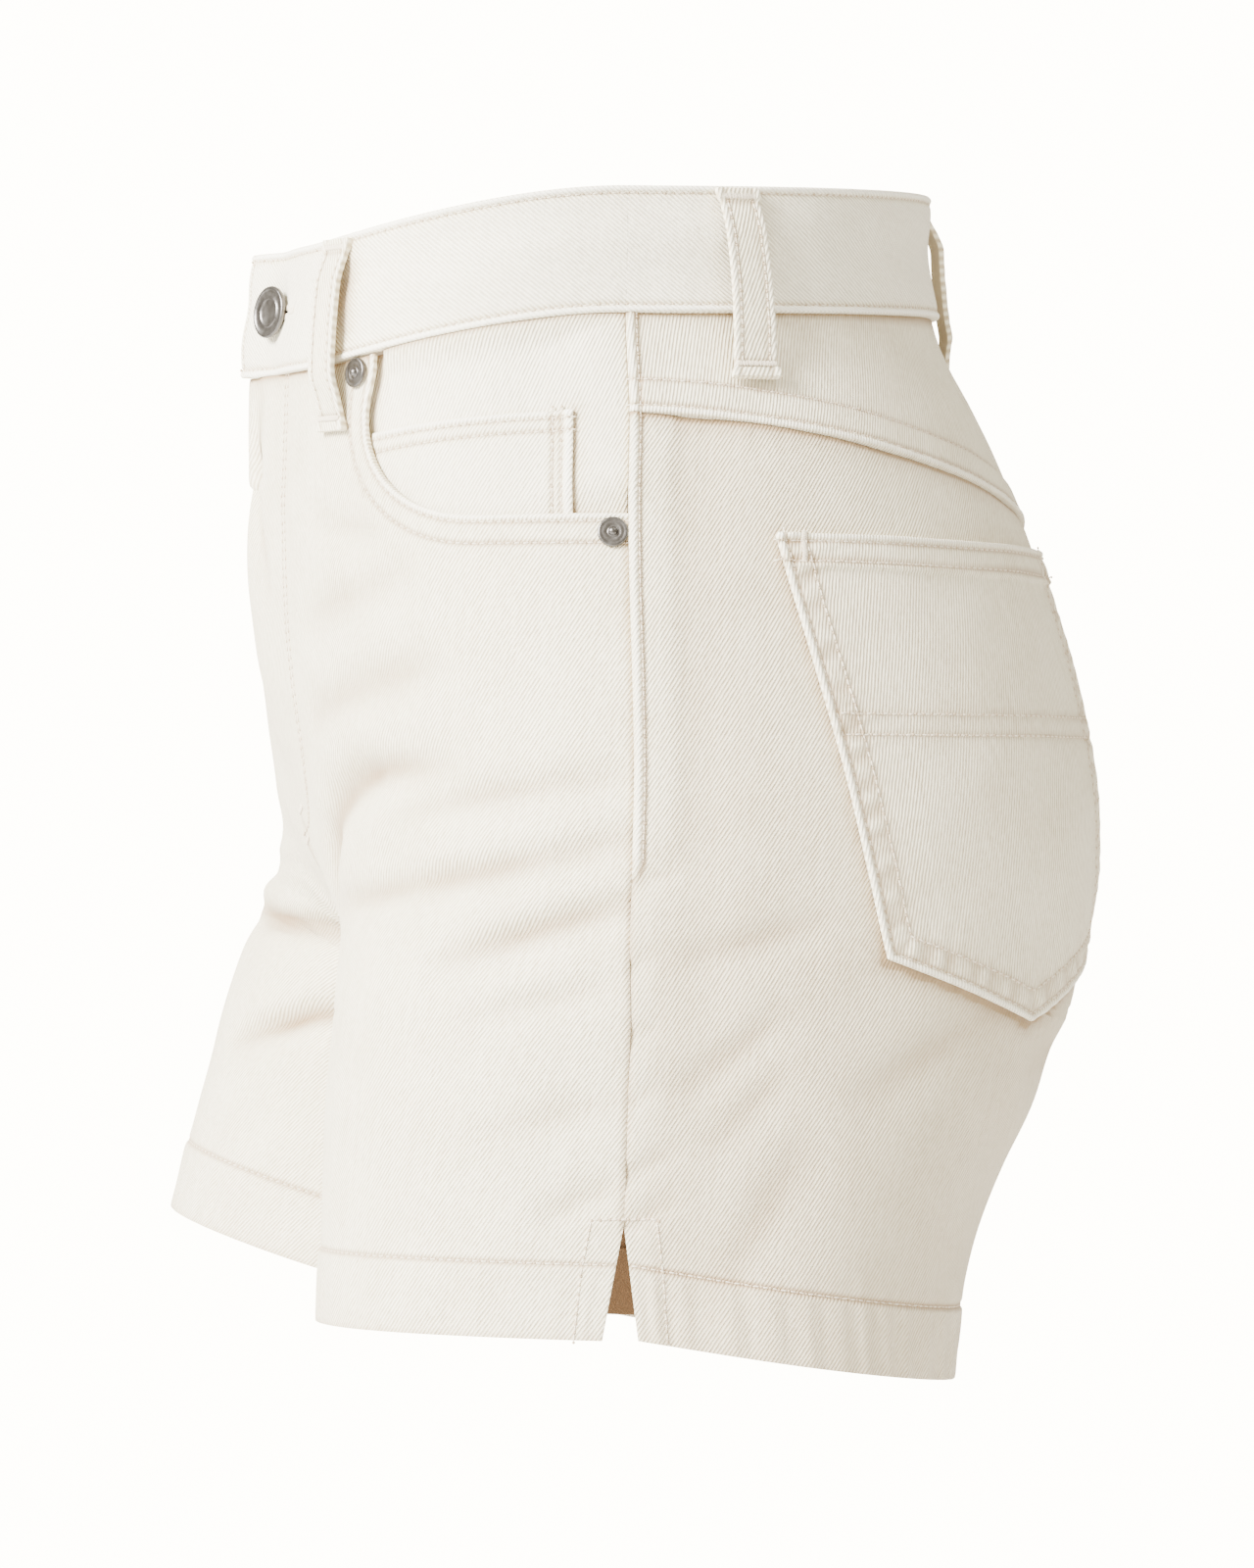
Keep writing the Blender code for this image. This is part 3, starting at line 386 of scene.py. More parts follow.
def make_table(side, face):
    """The surface of one face of one half: points, normals and lengths on a fine grid."""
    heights = np.arange(LOWEST, HIGHEST + TABLE_STEP, TABLE_STEP)
    rows, lengths = face_rows(heights, face)
    points = swung(rows, side)
    moved = fold_depths(side, face, heights, lengths)
    points = points + moved[..., None] * normals_of(points, side, face)
    return points, normals_of(points, side, face), lengths


TABLES = {(side, face): make_table(side, face) for side in (+1, -1) for face in ("front", "back")}


def length_across(face, height):
    """Length of a face from the side seam to the centre seam or inseam at a height."""
    lengths = TABLES[+1, face][2]
    return np.interp(height, LOWEST + TABLE_STEP * np.arange(len(lengths)), lengths)


def spot(side, face, across, height, lift=0.0):
    """Points of the garment, lifted off its surface. A share over 1 reads the other half."""
    across, height, lift = np.broadcast_arrays(*(np.asarray(v, float) for v in (across, height, lift)))
    if np.any(across > 1.0):
        other = spot(-side, face, np.clip(2.0 - across, 0.0, 1.0), height, lift)
        own = spot(side, face, np.clip(across, 0.0, 1.0), height, lift)
        return np.where((across > 1.0)[..., None], other, own)
    points, normals, _ = TABLES[side, face]
    row = np.clip((height - LOWEST) / TABLE_STEP, 0, len(points) - 1.001)
    place = np.clip(across * TABLE_ACROSS, 0, TABLE_ACROSS - 0.0001)
    i, j = row.astype(int), place.astype(int)
    u, v = (row - i)[..., None], (place - j)[..., None]

    def between(table):
        low = table[i, j] * (1 - v) + table[i, j + 1] * v
        return low * (1 - u) + (table[i + 1, j] * (1 - v) + table[i + 1, j + 1] * v) * u

    return between(points) + between(normals) * lift[..., None]


def lay(side, face, out, height, lift=0.0):
    """Points over a flat place of a panel."""
    return spot(side, face, np.asarray(out) / length_across(face, height), height, lift)


# Edges of the pieces


def band_top(face, across):
    share = across / BAND_DIP_SHARE if face == "front" else across
    return BAND_TOP["side"] + (BAND_TOP[face] - BAND_TOP["side"]) * ease(share)


def band_bottom(face, across):
    return band_top(face, across) - BAND_HEIGHT


def yoke_line(across):
    return YOKE_SIDE - YOKE_DROP * ease(0.95 * across)


def hem_line(side, face, across):
    rise = HEM_FRONT_RISE[side] if face == "front" else -HEM_BACK_DROP[side]
    line = HEM_SIDE + (HEM_INSEAM - HEM_SIDE) * across ** 2 + rise * np.sin(math.pi * across)
    swung_front = side < 0 and face == "front"
    return line - HEM_SWUNG_DIP * np.sin(math.pi * across ** HEM_DIP_POWER) * swung_front


def mouth_across(height):
    """The upright edge of the front pocket's mouth."""
    share = ease((height - MOUTH_TURN) / (BAND_TOP["front"] - BAND_HEIGHT - MOUTH_TURN))
    return MOUTH_ACROSS + (MOUTH_TOP_ACROSS - MOUTH_ACROSS) * share


def mouth_floor(across):
    """The lower edge of the mouth: an elliptical corner, then level to the side seam."""
    inward = np.clip(1.0 - (MOUTH_ACROSS - across) / MOUTH_CORNER_ACROSS, 0.0, 1.0)
    return MOUTH_TURN - (MOUTH_TURN - MOUTH_FLOOR) * np.sqrt(1.0 - inward ** 2)


# Lifts of the pieces


def fly_lift(side, across, height):
    """The left front laps over the right one, and both stand off the body beside the centre."""
    most = FLY_LIFT if side > 0 else FLY_UNDER_LIFT
    from_centre = (1.0 - across) * length_across("front", height)
    share = (1 - ease(from_centre / FLY_RUN)) * ease((height - FLY_BOTTOM) / FLY_FADE)
    return most * share - FLY_UNDERLAP_SINK * ease(-from_centre / FLY_UNDERLAP_RUN)


def turned(side, face, across, height):
    """1 over the turned hem and 0 above it."""
    return ease((hem_line(side, face, across) + HEM_DEPTH - height) / HEM_STEP)


def side_ridge(face, across, height):
    """Seam allowances pressed to the back, as far down as they are stitched."""
    from_seam = across * length_across(face, height)
    ridge = 1 - ease((from_seam - SIDE_RIDGE_WIDTH) / SIDE_RIDGE_FADE)
    return SIDE_RIDGE * ridge * (height > SIDE_RIDGE_END)


def seat_ridge(side, face, across, height):
    """The left half laps over the right at the centre back."""
    from_centre = (1.0 - across) * length_across(face, height)
    lapped = (side > 0) & (height > SEAT_RIDGE_END)
    return PLY * (1 - ease((from_centre - FELL_WIDTH) / FELL_FADE)) * lapped


def side_name(side):
    return "left" if side > 0 else "right"


def facing_depth(side, across, height):
    """Depth of the facing's outer face: deep under the front's edges and level with the back at the
    side seam and with the front below the waistband."""
    inside_upright = (mouth_across(height) - across) * length_across("front", height)
    inside_floor = height - mouth_floor(np.minimum(across, MOUTH_ACROSS))
    below_band = band_bottom("front", across) - height
    inside = ease((np.minimum(inside_upright, inside_floor) - FACING_EDGE) / FACING_RISE)
    by_seam = inside * ease((FACING_SIDE_ACROSS - across) / FACING_SIDE_ACROSS)
    by_band = ease((inside_upright - 1.0) / 3.5) * ease((FACING_RISE - below_band) / FACING_RISE)
    return FACING_DEPTH[side] * (1 - np.maximum(by_seam, by_band))


# Flat places, seams and relief

# A seam is a line of flat points along an edge. Its rows of stitches run beside it at these
# distances. Between the edge and the first row the cloth rolls up, and each row draws it in. The
# shade is how much tan is painted along the edge itself, where two pieces meet: painted shade
# where one piece shadows the other.
Seam = namedtuple("Seam", "line rows roll pucker edge shade", defaults=((), 0.0, 0.0, 0.0, 0.0))
GROOVE_DEPTH, GROOVE_WIDTH = 0.42, 0.8
PUCKER_REACH, PUCKER_PERIOD = 9.0, 7.2
# Painted tone: rolls paler for wear and painted highlight, rows tan for painted shade in their grooves
ROLL_TONE, ROW_TONE, ROW_TONE_WIDTH = 1.5, 0.75, 1.0
SHADE_WIDTH, SHADE_REACH = 1.3, 4.5


def waver(along, period):
    """An uneven wave along a seam, from -1 to 1."""
    turn = 2 * math.pi * along / period
    slow = np.sin(turn + 1.7 * np.sin(along / 13.0))
    return 0.6 * slow + 0.4 * np.sin(1.63 * turn + 2.1 * np.sin(along / 9.0))


def roll_between(share):
    """The round back of a roll, from its one edge to its other."""
    share = np.clip(share, 0.0, 1.0)
    return 4 * share * (1 - share)


def relief(out, height, seams):
    """How far the seams move the cloth out or in."""
    moved = np.zeros(np.broadcast(out, height).shape)
    for seam in seams:
        away, along, _ = beside(seam.line, out, height)
        if seam.rows:
            moved += seam.roll * roll_between(away / seam.rows[0]) ** 0.75
        for row in seam.rows:
            moved -= GROOVE_DEPTH * bump(away - row, GROOVE_WIDTH)
        moved -= seam.edge * bump(away, 1.0)
        fade = bump(away, PUCKER_REACH) * np.clip(away / 1.5, 0.3, 1.0)
        moved += seam.pucker * waver(along, PUCKER_PERIOD) * fade
    return moved


def toning(out, height, seams):
    """Painted tone along seams: paler (positive) on rolls, wear and painted highlight; tan (negative) at rows
    and edges, painted shade.
    """
    tone = np.zeros(np.broadcast(out, height).shape)
    for seam in seams:
        away, _, _ = beside(seam.line, out, height)
        if seam.rows:
            tone += ROLL_TONE * seam.roll * roll_between(away / seam.rows[0])
        for row in seam.rows:
            tone -= ROW_TONE * bump(away - row, ROW_TONE_WIDTH)
        tone -= seam.shade * (0.75 * bump(away, SHADE_WIDTH) + 0.25 * bump(away, SHADE_REACH))
    return tone


def unevenness(out, height, phase):
    """The soft unevenness of cloth that has been worn."""
    first = np.sin(out / 11.0 + 1.3 * np.sin(height / 17.0 + phase)) * np.sin(height / 14.0 + phase)
    second = np.sin(out / 5.3 - height / 8.1 + 2 * phase) * np.sin(height / 6.7 + out / 19.0)
    return 0.26 * first + 0.09 * second


def offset_line(line, distance):
    """The line moved to its left by a distance, with its corners kept sharp."""
    line = np.asarray(line, float)
    steps = np.diff(line, axis=0)
    steps /= np.linalg.norm(steps, axis=1, keepdims=True)
    normals = np.stack([-steps[:, 1], steps[:, 0]], axis=1)
    before = np.concatenate([normals[:1], normals])
    after = np.concatenate([normals, normals[-1:]])
    mitre = (before + after) / (1 + (before * after).sum(axis=1, keepdims=True))
    return line + distance * mitre


def spaced(line, step):
    """Points along a line, about a step apart."""
    line = np.asarray(line, float)
    run = np.append(0.0, np.cumsum(np.linalg.norm(np.diff(line, axis=0), axis=1)))
    at = np.linspace(0.0, run[-1], max(2, int(math.ceil(run[-1] / step)) + 1))
    return np.stack([np.interp(at, run, line[:, k]) for k in range(line.shape[1])], axis=1)


def graded(low, high, step, *lines, reach=4.0, fine=0.6):
    """Places from low to high, a step apart, and closer beside each of the lines."""
    places = np.linspace(low, high, int(math.ceil((high - low) / step)) + 1)
    for line in lines:
        places = places[np.abs(places - line) > reach]
    close = [np.arange(line - reach, line + reach + fine / 2, fine) for line in lines]
    places = np.concatenate([places, [low, high], *close])
    places = np.sort(places[(places >= low) & (places <= high)])
    kept = np.append(True, np.diff(places) > 0.25)
    kept[-1] = True
    return places[kept]


# Cloth


def slab(outer, inner, cells=None):
    """Vertices and faces of the closed cloth between two grids, with a rim round its cells."""
    rows, columns = outer.shape[0] - 1, outer.shape[1] - 1
    cells = np.ones((rows, columns), bool) if cells is None else cells
    vertices = np.concatenate([outer.reshape(-1, 3), inner.reshape(-1, 3)])
    under = outer.shape[0] * outer.shape[1]
    i, j = np.nonzero(cells)
    low = i * (columns + 1) + j
    high = low + columns + 1
    top = np.stack([low, low + 1, high + 1, high], axis=1)
    faces = [top, under + top[:, ::-1]]
    padded = np.pad(cells, 1)
    sides = (
        (padded[i, j + 1], low, low + 1),
        (padded[i + 2, j + 1], high + 1, high),
        (padded[i + 1, j], high, low),
        (padded[i + 1, j + 2], low + 1, high + 1),
    )
    for kept, a, b in sides:
        a, b = a[~kept], b[~kept]
        faces.append(np.stack([b, a, a + under, b + under], axis=1))
    return vertices, np.concatenate(faces)


def volume_of(vertices, faces):
    a, b, c, d = (vertices[faces[:, k]] for k in range(4))
    return (a * np.cross(b, c)).sum() + (a * np.cross(c, d)).sum()


def add_object(name, data):
    made = bpy.data.objects.new(name, data)
    bpy.context.scene.collection.objects.link(made)
    return made


def add_mesh(name, vertices, faces, materials, node):
    """A piece at the origin that rides on the body and stands for its node."""
    mesh = bpy.data.meshes.new(name)
    mesh.from_pydata((vertices * METRES).tolist(), [], [tuple(face) for face in faces])
    mesh.validate()
    mesh.shade_smooth()
    for material in materials:
        mesh.materials.append(material)
    made = add_object(name, mesh)
    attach(made, "root")
    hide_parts(node)
    return made


def sew_piece(name, node, outer, inner, flat, rib, tone, cells=None, round_off=0.45):
    """A piece of cloth: a closed wall with soft edges and the weave laid along its flat form. The
    rib is the angle at which the twill's lines rise on the piece."""
    vertices, faces = slab(outer, inner, cells)
    under = len(vertices) // 2
    turn = RIB_TURN - math.radians(rib)
    grain = np.array([[math.cos(turn), math.sin(turn)], [-math.sin(turn), math.cos(turn)]])
    weave = np.concatenate([flat.reshape(-1, 2) @ grain] * 2)
    tones = np.concatenate([np.broadcast_to(tone, flat.shape[:-1]).ravel(), np.zeros(under)])
    if volume_of(vertices, faces) < 0:
        faces = faces[:, ::-1]
    used, faces = np.unique(faces, return_inverse=True)
    faces = faces.reshape(-1, 4)
    finishes = [finish_of("cream_twill"), finish_of("cloth_inside")]
    made = add_mesh("cloth_" + name, vertices[used], faces, finishes, node)
    wrong_side = (faces >= np.searchsorted(used, under)).all(axis=1)
    made.data.polygons.foreach_set("material_index", wrong_side.astype(np.int32))
    layer = made.data.uv_layers.new(name="weave")
    corners = np.empty(len(made.data.loops), np.int32)
    made.data.loops.foreach_get("vertex_index", corners)
    layer.data.foreach_set("uv", (weave[used][corners] * METRES).astype(np.float32).ravel())
    # The per-point tone is painted colour: paler on rolls for wear and painted highlight, tan for painted
    # shade in grooves, along edges and in creases
    worn = made.data.attributes.new("worn", "FLOAT", "POINT")
    worn.data.foreach_set("value", tones[used].astype(np.float32))
    bevel = made.modifiers.new("Soft edges", "BEVEL")
    bevel.width = round_off * METRES
    bevel.segments = 2
    bevel.limit_method = "ANGLE"
    bevel.angle_limit = math.radians(50)
    bevel.use_clamp_overlap = True


class FlatPiece:
    """A piece cut flat for one face of one side, with its seams, its lift and its sewing."""

    def __init__(self, name, side, face, seams, lift_of):
        self.name, self.side, self.face = name, side, face
        self.seams, self.lift_of = seams, lift_of

    def make(self, node, out, height, inner, rib, tone=0.0, cells=None):
        """Sew it over a grid of flat places. The weave sees them from outside, never mirrored."""
        sign = self.side if self.face == "back" else -self.side
        flat = np.stack(np.broadcast_arrays(sign * out, height), axis=-1)
        outer = lay(self.side, self.face, out, height, self.lift_of(out, height))
        tone = toning(out, height, self.seams.values()) + tone
        inner = lay(self.side, self.face, out, height, inner)
        sew_piece(self.name, node, outer, inner, flat, rib, tone, cells)

    def row_over(self, line, step, more):
        """Points and outward directions of a row of stitches along a line of flat places."""
        out, height = spaced(line, step).T
        lift = self.lift_of(out, height) + more
        points = lay(self.side, self.face, out, height, lift)
        away = lay(self.side, self.face, out, height, lift + 1.0) - points
        return points, away / np.linalg.norm(away, axis=1, keepdims=True)

    def sew(self, *lines):
        for line in lines:
            SEWN.setdefault("stitches_" + self.name, []).append(self.row_over(line, 1.6, 0.05))

    def tack(self, *line):
        row = self.row_over(np.array(line), 0.5, 0.15)
        TACKED.setdefault("stitches_" + self.name, []).append(row)


SEWN = {}  # rows of stitches by the piece of sewing that they belong to
TACKED = {}  # the same for dense sewing: bar tacks and the buttonhole


def rows_of(seam, turn=1):
    """The seam's rows, to its left, or to its right where the turn is -1."""
    return [offset_line(seam.line, turn * row) for row in seam.rows]


# The seams of each panel


def on_edge(face, across, heights):
    """A line of flat places from shares across and heights."""
    return np.stack([across * length_across(face, heights), heights], axis=1)


def edge_line(low, high, across=0.0, face="front", step=4.0):
    """A line down an edge: along the side seam, or at a share across."""
    heights = np.arange(high, low - step / 2, -step)
    heights = np.append(heights[heights > low + 0.5], low)
    return on_edge(face, across, heights)


def mouth_line():
    """Down the upright edge of the front pocket's mouth, round its corner and to the side seam."""
    turn = np.linspace(0.0, math.pi / 2, 22)
    top = float(band_bottom("front", MOUTH_TOP_ACROSS))
    upright = np.linspace(top, MOUTH_TURN, 8)[:-1]
    across = MOUTH_ACROSS - MOUTH_CORNER_ACROSS * (1 - np.cos(turn))
    level = np.linspace(MOUTH_ACROSS - MOUTH_CORNER_ACROSS, 0.0, 8)[1:]
    across = np.concatenate([mouth_across(upright), across, level])
    return on_edge("front", across, np.concatenate([upright, mouth_floor(across[len(upright):])]))


def hem_edge(side, face):
    """The hem from the side seam to the inseam."""
    across = np.arange(0.0, 1.01, 0.02)
    return on_edge(face, across, hem_line(side, face, across))


def fly_curve(from_centre):
    """A row of the fly: straight down, then round to meet the centre seam."""
    heights = np.linspace(BAND_TOP["front"] - BAND_HEIGHT, FLY_MEETS, 60)
    turn = np.clip((FLY_STRAIGHT_END - heights) / (FLY_STRAIGHT_END - FLY_MEETS), 0.0, 1.0)
    away = from_centre * np.sqrt(np.clip(1 - turn ** 2.2, 0.0, 1.0)) + 1.5 * turn
    return np.stack([length_across("front", heights) - away, heights], axis=1)


def band_edge(face, from_across, to_across):
    """The band's lower edge, along the panels under it."""
    across = np.linspace(from_across, to_across, 30)
    return on_edge(face, across, band_bottom(face, across))


def yoke_edge():
    across = np.linspace(0.0, 1.0, 40)
    return on_edge("back", across, yoke_line(across))


def slit_line(foot):
    """The row of stitches round the slit: along its top, then down beside it."""
    return np.array([
        (0.0, SLIT_TOP + 2.0), (10.0, SLIT_TOP + 2.0), (12.5, SLIT_TOP - 14.0), (foot, HEM_SIDE + 1.0),
    ])


def coin_side():
    return np.array([(COIN_SIDE, COIN_BOTTOM), (COIN_SIDE, COIN_TOP_SIDE)])


def panel_seams(side, face, own):
    """The seams that every front and back has, and its own."""
    plain_top, hem, inseam = (-88.0, 0.3, 1.3) if face == "front" else (SIDE_RIDGE_END, 0.1, 0.6)
    return {
        "plain": Seam(edge_line(SLIT_TOP, plain_top), pucker=0.16, edge=0.45, shade=0.5),
        "hem": Seam(hem_edge(side, face), (HEM_DEPTH,), shade=hem),
        "inseam": Seam(edge_line(-330.0, -236.0, 1.0, face), pucker=0.12, edge=0.4, shade=inseam),
        **own,
    }


def front_seams(side):
    seams = panel_seams(side, "front", {
        "mouth": Seam(mouth_line(), (STITCH_IN, MOUTH_SECOND_ROW), 0.5, 0.12),
        "band": Seam(band_edge("front", MOUTH_TOP_ACROSS, 1.0), pucker=0.10, edge=0.2, shade=1.2),
    })
    if side > 0:
        seams["centre"] = Seam(edge_line(-232.0, -184.0, 1.0), (1.8, 7.5), 0.3, 0.12, 0.2, 0.9)
    return seams


def upright_seams(side, low, high, pucker, centre_low, centre_high):
    """The stitched side seam and, on the lapping half, the centre seam of a back or yoke."""
    seams = {"side": Seam(edge_line(low, high), (SIDE_RIDGE_WIDTH,), 0.45, pucker, 0.3, 0.2)}
    if side > 0:
        line = edge_line(centre_low, centre_high, 1.0, "back")
        seams["centre"] = Seam(line, (STITCH_IN, FELL_WIDTH - 2.0), 0.4, 0.12, 0.0, 0.3)
    return seams


def back_seams(side):
    return panel_seams(side, "back", {
        "yoke": Seam(yoke_edge(), pucker=0.14, edge=0.3, shade=1.6),
        "pocket": Seam(pocket_outline(), pucker=0.14, edge=0.2, shade=0.6),
        "foot": Seam(pocket_outline()[13:40], pucker=0.14, edge=0.3, shade=1.1),
        **upright_seams(side, SIDE_RIDGE_END, YOKE_SIDE, 0.16, SEAT_RIDGE_END, YOKE_CENTRE),
    })


def hem_pucker(side, face, out, height):
    """The upright ripples of a turned hem, which die out above its row of stitches."""
    above = height - hem_line(side, face, np.clip(out / length_across(face, height), 0.0, 1.0))
    inside = ease((above + 1.0) / 3.0) * ease((HEM_DEPTH + 0.5 - above) / 4.0)
    beyond = ease((above - HEM_DEPTH) / 2.0) * np.exp(-np.clip(above - HEM_DEPTH, 0, None) / 5.0)
    strong = 0.6 if face == "back" else 0.3
    return strong * waver(out + 0.12 * above, 10.8) * (inside + 0.6 * beyond)


# Beside the side seam the back lies over its allowances, then dips. Past them, and low on the
# back, its cloth is painted tan: painted shade.
ALLOWANCE, ALLOWANCE_WIDTH, ALLOWANCE_FALL = 0.7, 11.5, 5.0
DIP, DIP_FROM_SEAM, DIP_WIDTH = 0.9, 22.0, 11.0
BACK_SHADE, BACK_SHADE_REACH = -0.32, 75.0


def beside_side_seam(out, height):
    raised = ease((height - SIDE_RIDGE_END) / 6.0)
    step = ALLOWANCE * (1 - ease((out - ALLOWANCE_WIDTH) / ALLOWANCE_FALL))
    return raised * step - DIP * bump(out - DIP_FROM_SEAM, DIP_WIDTH) * ease(out / 10.0)


def back_painted_shade(out, height):
    # Painted shade: tan beyond the allowances near the side seam, and over the low back
    low = ease((-150.0 - height) / 80.0)
    near = bump(out, BACK_SHADE_REACH)
    past = ease((out - 1.0) / 3.0) * (1 - low) * ease((out - ALLOWANCE_WIDTH) / ALLOWANCE_FALL)
    return BACK_SHADE * (past * near + low * ease(out / 12.0))


def cloth_lift(side, face, seams):
    """The function that gives the outer face's lift at a flat place of a front or back."""
    def lift_of(out, height):
        across = out / length_across(face, height)
        own = np.clip(across, 0.0, 1.0)
        lift = HEM_SHOWS * turned(side, face, own, height) + relief(out, height, seams.values())
        lift = lift + hem_pucker(side, face, out, height)
        lift = lift + unevenness(out, height, 1.0 + 2.0 * (face == "back") + (side < 0))
        if face == "front":
            return lift + fly_lift(side, across, height)
        lift = lift + beside_side_seam(out, height)
        return lift + side_ridge(face, own, height) + seat_ridge(side, face, own, height)
    return lift_of


# Panels


def panel_edge(face, height):
    slit = SLIT_HALF_WIDTH * np.clip((SLIT_TOP - height) / (SLIT_TOP - HEM_SIDE), 0, None)
    return (SEWN_GAP / 2 + slit) / length_across(face, height)


def lower_block(side, face, across, start):
    """Heights from a line down to the hem, closer together at the hem's stitches and foot."""
    hem = hem_line(side, face, across)
    above = HEM_DEPTH + 12.0
    upper = start + (hem + above - start) * np.linspace(0.0, 1.0, 96)[1:, None]
    foot = hem + graded(0.0, above, 2.2, 0.0, HEM_DEPTH, reach=3.0)[::-1][1:, None]
    return np.concatenate([upper, foot])


def make_front(side):
    wide = 205.0  # at the hips, for spacing its columns
    level_end = MOUTH_ACROSS - MOUTH_CORNER_ACROSS
    level = graded(0.0, level_end * wide, 2.4, 0.0, reach=4.0)[:-1] / wide
    corner = MOUTH_ACROSS - MOUTH_CORNER_ACROSS * (1 - np.cos(np.linspace(0.0, math.pi / 2, 34)))
    far = (1 - MOUTH_ACROSS) * wide
    fine = (0.0, STITCH_IN, MOUTH_SECOND_ROW, far - 37.0, far - 7.5, far)
    beside_mouth = graded(0.0, far, 2.4, *fine, reach=2.6)
    columns = np.concatenate([level, corner[::-1], MOUTH_ACROSS + beside_mouth[1:] / wide])
    mouth_column = len(level) + len(corner) - 1
    turn = np.where(columns < MOUTH_ACROSS, mouth_floor(columns), MOUTH_TURN)
    top = band_bottom("front", columns) - SEWN_GAP
    over = np.linspace(0.0, 1.0, 13)[:-1, None]
    first = -122.0  # the height from which the rows run level
    offsets = np.concatenate([np.arange(0.0, 11.5, 0.55), np.arange(12.5, 40.5, 2.2)]) / 41.0
    heights = np.concatenate([
        top + (turn - top) * over,
        turn + (first - turn) * offsets[:, None],
        np.full((1, len(columns)), first),
        lower_block(side, "front", columns, first),
    ])
    wide = length_across("front", heights)
    mouth = np.full_like(heights, MOUTH_ACROSS)
    mouth[:len(over)] = mouth_across(heights[:len(over)])
    centre = 1.0 - SEWN_GAP / 2 / wide
    if side < 0:
        centre += FLY_UNDERLAP * ease((heights - FLY_UNDERLAP_END) / FLY_UNDERLAP_FADE) / wide
    near, own = panel_edge("front", heights), columns / MOUTH_ACROSS
    past = (columns - MOUTH_ACROSS) / (1 - MOUTH_ACROSS)
    across = np.where(own < 1.0, near + (mouth - near) * own, mouth + (centre - mouth) * past)
    out = across * wide
    ply = PLY * turned(side, "front", np.minimum(across, 1.0), heights)
    cells = np.ones((heights.shape[0] - 1, heights.shape[1] - 1), bool)
    cells[:len(over), :mouth_column] = False
    name = "front_" + side_name(side)
    seams = front_seams(side)
    panel = FlatPiece(name, side, "front", seams, cloth_lift(side, "front", seams))
    # Its tone is the painted shade in its creases
    panel.make(
        name, out, heights, fly_lift(side, across, heights) - CLOTH - ply, 54.0,
        painted_crease_shade(side, "front", out, heights), cells,
    )
    panel.sew(*rows_of(seams["mouth"]), *hem_rows(seams["hem"]), slit_line(14.0))
    if side > 0:
        panel.sew(*(fly_curve(row) for row in FLY_ROWS), *rows_of(seams["centre"], -1))
        for height in (-173.0, -183.0):
            reach = length_across("front", height)
            panel.tack((reach - 9.0, height + 1.0), (reach - 1.0, height - 1.0))


def hem_rows(seam):
    """The hem's rows, which stop short of the slit."""
    return [line[line[:, 0] > 3.4] for line in rows_of(seam)]


def back_columns(wide, step):
    return graded(0.0, wide, step, 0.0, SIDE_RIDGE_WIDTH, wide - 10.0, wide - 2.0, reach=3.0) / wide


def make_back(side):
    columns = back_columns(250.0, 2.0)
    near_top = yoke_line(columns) - SEWN_GAP - np.arange(0.0, 6.0, 0.7)[:, None]
    heights = np.concatenate([near_top, lower_block(side, "back", columns, near_top[-1])])
    near = panel_edge("back", heights)
    wide = length_across("back", heights)
    across = near + (1.0 - SEWN_GAP / 2 / wide - near) * columns[None]
    out = across * wide
    seams = back_seams(side)
    name = "back_" + side_name(side)
    panel = FlatPiece(name, side, "back", seams, cloth_lift(side, "back", seams))
    inner = beside_side_seam(out, heights) - CLOTH - PLY * turned(side, "back", across, heights)
    # Painted shade in the creases and on the back
    tone = painted_crease_shade(side, "back", out, heights) + back_painted_shade(out, heights)
    panel.make(name, out, heights, inner, 57.0, tone)
    panel.sew(*rows_of(seams["side"]), *hem_rows(seams["hem"]), slit_line(14.5))
    if side > 0:
        panel.sew(*rows_of(seams["centre"], -1))


def make_yoke(side):
    columns = back_columns(215.0, 2.5)
    top, foot = band_bottom("back", columns) - SEWN_GAP, yoke_line(columns)
    rise = graded(0.0, FELL_WIDTH + 5.0, 2.0, 0.0, STITCH_IN, FELL_WIDTH, reach=3.0)[::-1, None]
    shares = np.linspace(0.0, 1.0, 12)[:-1, None]
    heights = np.concatenate([top + (foot + rise[0] - top) * shares, foot + rise])
    wide = length_across("back", heights)
    near = SEWN_GAP / 2 / wide
    out = (near + (1.0 - 2 * near) * columns[None]) * wide
    seams = {
        "foot": Seam(yoke_edge(), (STITCH_IN, FELL_WIDTH), 0.5, 0.20),
        "band": Seam(band_edge("back", 0.0, 1.0), pucker=0.12, edge=0.2, shade=1.1),
        **upright_seams(
            side, YOKE_SIDE, BAND_TOP["side"] - BAND_HEIGHT, 0.14, YOKE_CENTRE, BAND_TOP["back"] - BAND_HEIGHT
        ),
    }

    def lift_of(out, height):
        across = np.clip(out / length_across("back", height), 0.0, 1.0)
        lapped = PLY * ease((yoke_line(across) + FELL_WIDTH + FELL_FADE - height) / FELL_FADE)
        ridge = side_ridge("back", across, height) + seat_ridge(side, "back", across, height)
        lift = np.maximum(lapped, ridge) + relief(out, height, seams.values())
        return lift + unevenness(out, height, 5.0 + (side < 0))

    name = "yoke_" + side_name(side)
    panel = FlatPiece(name, side, "back", seams, lift_of)
    panel.make(name, out, heights, -CLOTH, 79.0)
    panel.sew(*rows_of(seams["foot"]), *rows_of(seams["side"]))
    if side > 0:
        panel.sew(*rows_of(seams["centre"], -1))


# Pockets


